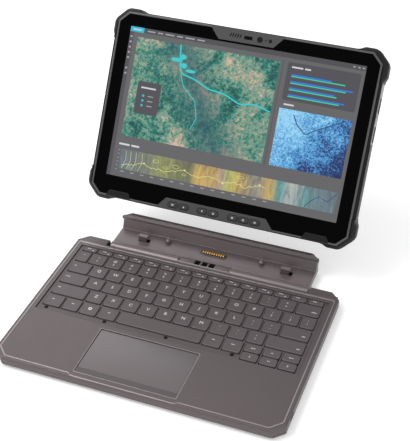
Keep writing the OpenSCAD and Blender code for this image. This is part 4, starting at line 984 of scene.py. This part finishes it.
print("front plates and buttons")
buttonSettings = {"front": -1.3, "back": -0.42, "wide": 10.2, "high": 5.4, "z": 6.6,
                  "x": [-47.6, -34.8, -13.9, -1.2, 20.2, 32.4, 45.2],
                  "outerRound": {0: -1, 1: 1, 2: -1, 3: 1, 4: -1, 6: 1}}
s = buttonSettings
openings = Heap()
for n, x in enumerate(s["x"]):
    roundEnd = s["outerRound"].get(n, 0)
    left = 2.5 if roundEnd == -1 else 1.0
    right = 2.5 if roundEnd == 1 else 1.0
    rings = []
    # the opening round the button is black, as painted shade in the gap
    for grow, depth in ((0.65, 0.05), (0.65, -0.79), (0.12, -0.79),
                        (0.12, 0.05)):  # the dark opening round the button
        w, h = s["wide"] / 2 + grow, s["high"] / 2 + grow
        loop = roundedLoop([(x - w, s["z"] - h), (x + w, s["z"] - h), (x + w, s["z"] + h),
                            (x - w, s["z"] + h)],
                           [left + grow, right + grow, right + grow, left + grow], 6)
        rings.append(flatRing(loop, depth, 1))
    openings.add(np.concatenate(rings), ringFaces(len(rings), len(rings[0])))
    heap = Heap()
    rings = []
    for inset, depth in ((0.1, s["back"]), (0.0, s["back"] - 0.2), (0.0, s["front"] + 0.35),
                         (0.18, s["front"] + 0.1), (0.55, s["front"])):
        w, h = s["wide"] / 2 - inset, s["high"] / 2 - inset
        loop = roundedLoop([(x - w, s["z"] - h), (x + w, s["z"] - h), (x + w, s["z"] + h),
                            (x - w, s["z"] + h)],
                           [left, right, right, left], 6)
        rings.append(flatRing(loop, depth, 1))
    heap.loft(rings)
    markDepth = s["front"]
    if n in (0, 4, 6):  # a plain ring
        for radius, kind, up in ((1.15, 1, 0.03), (0.7, 0, 0.045)):
            padShape(heap, circleLoop(x, s["z"], radius, 18), markDepth + 0.03, markDepth - up, 0.01, axis=1,
                     kind=kind)
    elif n in (1, 2):  # an arrow head
        a = np.array([(-0.9, -0.8), (0.9, -0.8), (0.0, 1.1)]) * (1 if n == 1 else -1)
        padShape(heap, a + [x, s["z"]], markDepth + 0.03, markDepth - 0.03, 0.01, axis=1, kind=1)
    else:  # two short bars
        for up in (-0.6, 0.6):
            padShape(heap, rectLoop(x - 1.2, x + 1.2, s["z"] + up - 0.25, s["z"] + up + 0.25, 0.1, 3),
                     markDepth + 0.03, markDepth - 0.03, 0.01, axis=1, kind=1)
    piece = heap.piece("frontButton%d" % (n + 1), [buttonGrey, legendInk], onTablet, 35)
    finish(piece, "button_%d" % (n + 1), "button_grey", "front_button_%d" % (n + 1))

heap = Heap()
for side in (-1, 1):
    outline = roundedLoop([(side * 111 - 15.3, 1.25), (side * 111 + 15.3, 1.25), (side * 111 + 11.3, 8.5),
                           (side * 111 - 11.3, 8.5)],
                          [0.6, 0.6, 2.0, 2.0], 6)
    padShape(heap, outline, 0.08, -0.8, 0.55, axis=1)
finish(heap.piece("lowTabs", frameGrey, onTablet, 35), "tablet", "plate_grey", "corner_tabs")

# the slots and window cut into the front plate, with the button openings, are black as painted shade in the cuts
heap = openings
for n in range(5):
    x = -17.5 + 2.7 * n
    padShape(heap, np.array([(x - 1.0, 192.4), (x - 0.1, 192.4), (x + 1.1, 196.4), (x + 0.2, 196.4)]), 0.05,
             -0.775, 0.01, axis=1)
padShape(heap, rectLoop(-2.6, 6.4, 192.0, 195.6, 0.5, 4), 0.05, -0.775, 0.01, axis=1)
finish(heap.piece("plateOpenings", shadeAndMarkBlack, onTablet), "tablet", "plate_grey")

heap = Heap()
for x, z, radius in ((14.5, 194.0, 2.9), (20.9, 194.2, 0.7), (25.8, 194.2, 1.75)):
    rings = []
    for part, depth in ((1.0, 0.08), (1.0, -0.80), (0.93, -0.95), (0.84, -0.93), (0.80, -0.70), (0.55, -0.80),
                        (0.25, -0.86)):
        rings.append(flatRing(circleLoop(x, z, radius * part, 40), depth, 1))
    heap.loft(rings)
finish(heap.piece("frontLenses", lensGlass, onTablet, 40), "tablet", "lens", "camera_glass")

# The lit screen.

print("screen")


def screenMaterial(name, colour, strength=1.0):
    # a lit colour under a slightly glossy face; the faint grid of a display varies it
    material = bpy.data.materials.new(name)
    material.use_nodes = True
    tree = material.node_tree
    shader = tree.nodes["Principled BSDF"]
    place = tree.nodes.new("ShaderNodeTexCoord").outputs["Object"]
    slow = noiseNode(tree, place, 40.0, 2.0, 0.5)
    shade = plus(tree, times(tree, slow, 0.10), 0.95)
    tone = tree.nodes.new("ShaderNodeVectorMath")
    tone.operation = "SCALE"
    tone.inputs[0].default_value = colour
    link(tree, shade, tone.inputs["Scale"])
    link(tree, tone.outputs[0], shader.inputs["Emission Color"])
    shader.inputs["Emission Strength"].default_value = strength
    link(tree, mixColour(tree, 0.12, (0.0, 0.0, 0.0), tone.outputs[0]), shader.inputs["Base Color"])
    shader.inputs["Roughness"].default_value = 0.25
    return material


screenInk = {
    "base": screenMaterial("screenBase", (0.096, 0.096, 0.100)),
             "bar": screenMaterial("screenBar", (0.052, 0.052, 0.056)),
    "panel": screenMaterial("screenPanel", (0.058, 0.055, 0.064)),
             "pale": screenMaterial("screenPale", (0.55, 0.56, 0.60)),
    "grey": screenMaterial("screenGrey", (0.30, 0.30, 0.33)),
             "cyan": screenMaterial("screenCyan", (0.005, 0.42, 0.58)),
    "blue": screenMaterial("screenBlue", (0.010, 0.16, 0.78)),
             "green": screenMaterial("screenGreen", (0.01, 0.56, 0.33)),
    "yellow": screenMaterial("screenYellow", (0.72, 0.70, 0.22)),
             "water": screenMaterial("screenWater", (0.02, 0.50, 0.52)),
    "navy": screenMaterial("screenNavy", (0.015, 0.05, 0.16)),
}
inkNames = list(screenInk)
screenSettings = {"halfWide": 129.25, "top": 186.0, "wide": 258.5, "high": 161.6, "front": 0.02,
                  "layer": 0.012}


def screenAt(points):
    # shares of the screen's width and height from its top left corner, as percents, to millimetres
    p = np.asarray(points, float)
    s = screenSettings
    return np.stack([p[..., 0] / 100 * s["wide"] - s["halfWide"], s["top"] - p[..., 1] / 100 * s["high"]], -1)


def patch(heap, u0, u1, v0, v1, ink, layer=1, radius=0.3):
    # a flat rectangle of one ink between two places on the screen, one thin layer over the last
    (x0, z1), (x1, z0) = screenAt([(u0, v0), (u1, v1)])
    s = screenSettings
    depth = s["front"] - s["layer"] * layer
    padShape(heap, rectLoop(x0, x1, z0, z1, radius, 4), 0.09, depth, 0.005, axis=1, kind=inkNames.index(ink))


def disc(heap, u, v, wide, high, ink, layer=2):
    # an ellipse of one ink, placed and sized in percents of the screen
    loop = screenAt(circleLoop(u, v, wide / 2, 24, high / 2)[::-1])
    depth = screenSettings["front"] - screenSettings["layer"] * layer
    padShape(heap, loop, 0.09, depth, 0.005, axis=1, kind=inkNames.index(ink))


def ribbon(heap, points, width, ink, layer=2, steps=60):
    # a line of even width along a smooth path through the points
    p = screenAt(points)
    t = np.linspace(0, 1, len(p))
    at = np.linspace(0, 1, steps)
    line = np.stack([np.interp(at, t, p[:, 0]), np.interp(at, t, p[:, 1])], -1)
    for _ in range(3):
        line[1:-1] = (line[:-2] + 2 * line[1:-1] + line[2:]) / 4
    tangent = np.gradient(line, axis=0)
    tangent /= np.linalg.norm(tangent, axis=1, keepdims=True)
    side = np.stack([-tangent[:, 1], tangent[:, 0]], -1) * width / 2
    depth = screenSettings["front"] - screenSettings["layer"] * layer
    rings = [flatRing(np.stack([line - side, line + side], 1).reshape(-1, 2), d, 1) for d in (depth, 0.09)]
    top, low = (r.reshape(steps, 2, 3) for r in rings)
    verts = np.stack([top[:, 0], top[:, 1], low[:, 1], low[:, 0]], 1).reshape(-1, 3)
    heap.add(verts, loftFaces(steps, 4), inkNames.index(ink))


heap = Heap()
patch(heap, 0, 100, 0, 100, "base", 0, 0.6)
patch(heap, 0, 100, 0, 3.2, "bar", 1, 0.4)
patch(heap, 0, 6, 0, 3.2, "cyan", 2)
patch(heap, 1.2, 4.8, 1.3, 2.0, "pale", 3, 0.1)
for u, wide in ((7.6, 3.4), (12.2, 2.2), (15.6, 3.8), (20.6, 2.6), (24.4, 4.0), (29.6, 3.2), (94.7, 0.9),
                (96.7, 0.9), (98.5, 0.9)):
    patch(heap, u, u + wide, 1.3, 2.1, "grey", 2, 0.1)
patch(heap, 0, 1.7, 3.2, 100, "panel", 1)
for v in (6, 9.5, 13, 16.5, 20, 27, 30.5):
    patch(heap, 0.4, 1.3, v, v + 1.2, "grey", 2, 0.2)
patch(heap, 66.6, 66.9, 5, 74, "panel", 1, 0.05)
patch(heap, 68.8, 98.6, 5.5, 29.6, "panel", 1, 1.6)
for u, wide in ((70.6, 4.6), (76.0, 2.4)):
    patch(heap, u, u + wide, 7.9, 8.9, "pale", 2, 0.15)
for v, blue, green in ((13.2, 87.5, 93.0), (17.5, 96.5, 93.7), (21.7, 89.5, 90.5), (26.0, 94.0, 92.0)):
    patch(heap, 71, blue, v - 0.35, v + 0.35, "blue", 2, 0.1)
    patch(heap, 71, green, v + 0.65, v + 1.35, "green", 2, 0.1)
patch(heap, 70, 74.2, 31.8, 32.8, "pale", 2, 0.15)
patch(heap, 3.5, 8.2, 77.4, 78.6, "pale", 2, 0.15)
patch(heap, 9.0, 12.6, 77.4, 78.6, "pale", 2, 0.15)
finish(heap.piece("screenPage", list(screenInk.values()), onTablet), "tablet", "screen", "display_panel")


def mapMaterial(name, build):
    # build(tree, u, v) gives the panel's colour out of the piece's own UV map
    material = bpy.data.materials.new(name)
    material.use_nodes = True
    tree = material.node_tree
    shader = tree.nodes["Principled BSDF"]
    uvNode = tree.nodes.new("ShaderNodeTexCoord")
    colour = build(tree, uvNode.outputs["UV"])
    link(tree, colour, shader.inputs["Emission Color"])
    shader.inputs["Emission Strength"].default_value = 1.0
    link(tree, mixColour(tree, 0.12, (0.0, 0.0, 0.0), colour), shader.inputs["Base Color"])
    shader.inputs["Roughness"].default_value = 0.25
    return material


def split(tree, vector):
    # the vector's separate axes
    node = tree.nodes.new("ShaderNodeSeparateXYZ")
    link(tree, vector, node.inputs[0])
    return node.outputs


def landPicture(tree, uv):
    # vegetation and bare ground from two noises, darker wet ground in a band from the top left downwards
    axes = split(tree, uv)
    coarse = noiseNode(tree, uv, 4.2, 7.0, 0.62, 0.7)
    fine = noiseNode(tree, uv, 42.0, 6.0, 0.75, 0.6)
    both = plus(tree, times(tree, coarse, 0.85), times(tree, fine, 0.85))
    both = minus(tree, both, 0.34)
    land = rampNode(tree, both,
                    [(0.38, (0.002, 0.060, 0.055)), (0.64, (0.56, 0.38, 0.30)), (0.46, (0.006, 0.190, 0.140)),
                                 (0.51, (0.090, 0.230, 0.160)), (0.56, (0.230, 0.300, 0.260)),
                     (0.60, (0.16, 0.28, 0.14))])
    across = minus(tree, axes[0], times(tree, minus(tree, 1.0, axes[1]), 0.55))
    offset = mathNode(tree, "ABSOLUTE", minus(tree, across, times(tree, coarse, 0.25)))
    band = minus(tree, 1.0, times(tree, offset, 4.2), True)
    return mixColour(tree, times(tree, band, 0.75), land, (0.010, 0.075, 0.095))


def depthPicture(tree, uv):
    # pale blue shallow water that turns navy towards the lower right
    axes = split(tree, uv)
    soft = noiseNode(tree, uv, 3.4, 6.0, 0.6, 0.5)
    slope = plus(tree, times(tree, minus(tree, axes[0], axes[1]), 0.36),
                     times(tree, soft, 0.9))
    blocks = tree.nodes.new("ShaderNodeTexVoronoi")
    blocks.inputs["Scale"].default_value = 58.0
    link(tree, uv, blocks.inputs["Vector"])
    grain = times(tree, minus(tree, split(tree, blocks.outputs["Color"])[0], 0.5), 0.30)
    return rampNode(tree, plus(tree, slope, grain), [
        (0.22, (0.26, 0.56, 0.78)), (0.82, (0.002, 0.010, 0.07)), (0.44, (0.08, 0.32, 0.60)),
                                                     (0.58, (0.03, 0.16, 0.40)),
        (0.68, (0.006, 0.035, 0.16))])


def layersPicture(tree, uv):
    # bands of ground in different colours along the strip, cut by slanting noise
    axes = split(tree, uv)
    wave = noiseNode(tree, uv, 7.0, 5.0, 0.6, 0.3)
    tall = tree.nodes.new("ShaderNodeVectorMath")
    tall.operation = "MULTIPLY"
    tall.inputs[1].default_value = (1.0, 0.22, 1.0)
    link(tree, uv, tall.inputs[0])
    streak = noiseNode(tree, tall.outputs[0], 34.0, 5.0, 0.65, 1.6)
    at = plus(tree, axes[0], times(tree, minus(tree, wave, 0.5), 0.07))
    bands = rampNode(tree, at, [
        (0.0, (0.12, 0.17, 0.22)), (1.0, (0.10, 0.17, 0.20)), (0.12, (0.16, 0.18, 0.15)),
                                (0.20, (0.24, 0.26, 0.10)),
        (0.33, (0.13, 0.14, 0.08)), (0.37, (0.50, 0.34, 0.10)), (0.46, (0.44, 0.30, 0.12)),
                                (0.48, (0.34, 0.24, 0.23)),
        (0.52, (0.40, 0.42, 0.12)), (0.56, (0.46, 0.32, 0.10)), (0.64, (0.22, 0.22, 0.20)),
                                (0.71, (0.48, 0.33, 0.10)),
        (0.75, (0.06, 0.26, 0.27)), (0.80, (0.36, 0.38, 0.38)), (0.86, (0.10, 0.28, 0.30)),
                                (0.92, (0.12, 0.18, 0.22))])
    dark = times(tree, minus(tree, 0.56, streak), 6.0, True)
    bright = times(tree, minus(tree, streak, 0.58), 6.0, True)
    shaded = mixColour(tree, times(tree, dark, 0.55), bands, (0.09, 0.085, 0.07))
    return mixColour(tree, times(tree, bright, 0.5), shaded, (0.52, 0.50, 0.12))


def picturePiece(name, u0, u1, v0, v1, build, columns=24, rows=16):
    # a grid of points over the patch, closed behind by one flat face
    (x0, z1), (x1, z0) = screenAt([(u0, v0), (u1, v1)])
    gx, gz = np.meshgrid(np.linspace(0, 1, columns), np.linspace(0, 1, rows))
    front = np.stack([x0 + gx * (x1 - x0), np.full_like(gx, screenSettings["front"] - 0.018),
                      z0 + gz * (z1 - z0)], -1).reshape(-1, 3)
    i, j = np.meshgrid(np.arange(rows - 1), np.arange(columns - 1), indexing="ij")
    k = (i * columns + j).ravel()
    faces = np.stack([k, k + 1, k + columns + 1, k + columns], -1).tolist()
    edge = list(range(columns)) + [columns * (r + 1) - 1 for r in range(1, rows)]
    edge += [columns * (rows - 1) + c for c in range(columns - 2, -1, -1)] + [columns * r
        for r in range(rows - 2, 0, -1)]
    back = front[edge].copy()
    back[:, 1] = 0.09
    base = len(front)
    faces += [[edge[n], base + n, base + (n + 1) % len(edge), edge[(n + 1) % len(edge)]]
              for n in range(len(edge))]
    faces.append([base + n for n in range(len(edge))])
    uv = np.vstack([np.stack([gx, gz], -1).reshape(-1, 2) * [1.0, (z1 - z0) / (x1 - x0)],
                    np.zeros((len(edge), 2))])
    piece = makeMesh(name, np.vstack([front, back]), faces, mapMaterial(name + "Colours", build), onTablet,
                     uv=uv, smooth=20)
    return finish(piece, "tablet", "screen")


picturePiece("landMap", 3.7, 65.5, 6.3, 72.2, landPicture)
picturePiece("depthMap", 68.6, 98.5, 35, 72.2, depthPicture)
picturePiece("groundLayers", 5, 98.5, 81, 94.6, layersPicture)

heap = Heap()
ribbon(heap, [(23, 6.6), (23.5, 14), (25, 25), (31, 27), (38, 32), (45, 33), (52, 38), (58, 36), (65, 39)],
       1.5, "water", 3)
ribbon(heap, [(25, 25), (27, 33), (33, 41), (35, 52), (33, 60)], 0.8, "water", 3)
for u, v, wide, high in ((22.4, 16.6, 5.0, 2.6), (24.9, 14.2, 2.6, 3.4), (29.0, 22.6, 4.4, 2.2),
                         (25.8, 19.8, 2.6, 3.4)):
    disc(heap, u, v, wide, high, "water", 3)
ribbon(heap, [(75, 38), (77, 44), (81, 49), (85, 45), (90, 41), (96, 36)], 1.1, "navy", 3)
ribbon(heap, [(86, 94.2), (88, 90), (91, 86), (95, 88), (98.2, 82)], 0.7, "navy", 3)
patch(heap, 7.3, 17.8, 34.5, 56, "panel", 3, 2.0)
patch(heap, 9.0, 15.5, 38.0, 39.0, "pale", 4, 0.15)
for v in (43.8, 47.0, 50.2):
    patch(heap, 9.9, 10.9, v - 0.8, v + 0.8, "cyan", 4, 1.0)
    patch(heap, 12.5, 14.9, v - 0.3, v + 0.3, "grey", 4, 0.1)
for u in (6.2, 8.4, 10.8, 13.6):
    ribbon(heap, [(u, 94), (u + 1.4, 88), (u + 1.0, 82)], 0.35, "yellow", 3, 16)
t = np.linspace(0, 2 * math.pi, 30)
for u, v, wide, high in ((21, 85, 2.6, 2.0), (25.5, 88, 2.0, 1.6), (30, 86, 3.0, 2.2), (34, 90, 1.6, 1.4),
                         (58, 84, 3.2, 1.6)):
    ribbon(heap, np.stack([u + wide / 2 * np.cos(t), v + high / 2 * np.sin(t)], -1), 0.3, "yellow", 3, 40)
peaks = [(6, 91.5), (11, 90.5), (16, 88), (21, 90.6), (28, 90), (34, 87), (39, 89.8), (47, 87.5), (51, 90.2),
         (56, 88), (61, 90), (66.5, 86.5), (69, 88)]
along = np.linspace(6, 69, 90)
level = np.interp(along, *np.array(peaks).T) + rng.uniform(-0.9, 0.9, len(along))
ribbon(heap, np.stack([along, level], -1), 0.42, "yellow", 4, 320)
for u, v in peaks[2::3]:
    patch(heap, u - 0.35, u + 0.35, v - 0.55, v + 0.55, "yellow", 5, 0.7)
for n in range(6):
    patch(heap, 3.6, 4.4, 82 + n * 2.6, 82.4 + n * 2.6, "grey", 2, 0.05)
for n in range(15):
    patch(heap, 6 + n * 4.5, 7.6 + n * 4.5, 95.8, 96.4, "grey", 2, 0.05)
finish(heap.piece("screenMarks", list(screenInk.values()), onTablet), "tablet", "screen")

# Finishes of the nodes that are shown as they are.

print("finishes")
nodeFinish = {
    deckPlastic: ["base_cover", "deck_frame"], plateSteel: ["key_plate"],
              boardGreen: ["keyboard_board", "main_board"],
    stripPlastic: ["touchpad_strip", "contact_block"], blackRubber: ["rubber_feet", "dock_foot"],
    screwBlack: ["deck_screws", "base_screws", "dock_screws", "housing_screws"],
              brushedSteel: ["hinge_pins", "latch_bar", "port_block"],
    dockPlastic: ["dock_chassis"], dockBright: ["guide_pins", "latch_hooks"],
    shellDark: ["rear_housing", "dock_rail"], glassBlack: ["cover_glass"],
              plateGrey: ["camera_plate", "button_plate"],
    batteryPlastic: ["battery_left", "battery_right"],
              latchOrange: ["battery_latch_left", "battery_latch_right"],
    lensGlass: ["rear_camera"],
}
for material, names in nodeFinish.items():
    for name in names:
        mesh = bpy.data.objects[name].data
        mesh.materials.clear()
        mesh.materials.append(material)
replaced = [o.name for o in bpy.data.objects if o.type == "MESH" and o.hide_render]
print("nodes without a finish:",
      sorted(set(nodes) - {n for names in nodeFinish.values() for n in names} - set(replaced)))

# Floor, light and camera.

print("floor, light, camera")
half = 3000.0
corners = [(-half, -half, -0.05), (half, -half, -0.05), (half, half, -0.05), (-half, half, -0.05)]
floorWhite = finishMaterial("floorWhite", (0.93, 0.93, 0.93), (0.93, 0.93, 0.93), 0.75, 0.0, 0.02, 300, 0.01,
                            0.0)
floorShader = floorWhite.node_tree.nodes["Principled BSDF"]
floorShader.inputs["Emission Color"].default_value = (1.0, 1.0, 1.0, 1.0)
floorShader.inputs["Emission Strength"].default_value = 0.25
makeMesh("floor", corners, [[0, 1, 2, 3]], floorWhite, tidy=False)

bpy.context.scene.view_settings.view_transform = "Standard"
world = bpy.data.worlds.new("studio")
world.use_nodes = True
world.node_tree.nodes["Background"].inputs["Color"].default_value = (1.0, 1.0, 1.0, 1.0)
world.node_tree.nodes["Background"].inputs["Strength"].default_value = 0.78
bpy.context.scene.world = world


def areaLight(name, place, aim, size, power):
    # a rectangular lamp at a place in metres, turned towards its aim, with its power in watts
    data = bpy.data.lights.new(name, "AREA")
    data.shape, data.size, data.size_y, data.energy = "RECTANGLE", size[0], size[1], power
    lamp = bpy.data.objects.new(name, data)
    lamp.location = place
    lamp.rotation_euler = (Vector(aim) - Vector(place)).to_track_quat("-Z", "Y").to_euler()
    bpy.context.scene.collection.objects.link(lamp)


areaLight("keyLight", (-0.9, -0.4, 1.5), (0, 0.05, 0.05), (0.9, 0.9), 15)
areaLight("fillLight", (1.4, -0.9, 0.9), (0, 0.05, 0.05), (1.2, 1.2), 1)
areaLight("rearLight", (-0.9, 1.3, 1.2), (0, 0.10, 0.05), (1.0, 0.8), 4)

# turned by yaw about Z, then down by pitch, then by roll about the line of sight
cameraSettings = {"place": (0.31454, -0.73344, 0.73922), "yaw": -20.6519, "pitch": 36.7337, "roll": 0.1712,
                  "lens": 87.82}
yaw, pitch, roll = (math.radians(cameraSettings[k]) for k in ("yaw", "pitch", "roll"))
ahead = Vector((math.sin(yaw) * math.cos(pitch), math.cos(yaw) * math.cos(pitch), -math.sin(pitch)))
right = Vector((math.cos(yaw), -math.sin(yaw), 0))
down = ahead.cross(right)
right, down = math.cos(roll) * right + math.sin(roll) * down, math.cos(roll) * down - math.sin(roll) * right
data = bpy.data.cameras.new("camera")
data.lens, data.sensor_width, data.sensor_fit, data.clip_end = cameraSettings["lens"], 36.0, "AUTO", 20
camera = bpy.data.objects.new("camera", data)
camera.matrix_world = Matrix.Translation(cameraSettings["place"]) @ Matrix((right, -down,
    -ahead)).transposed().to_4x4()
bpy.context.scene.collection.objects.link(camera)
bpy.context.scene.camera = camera
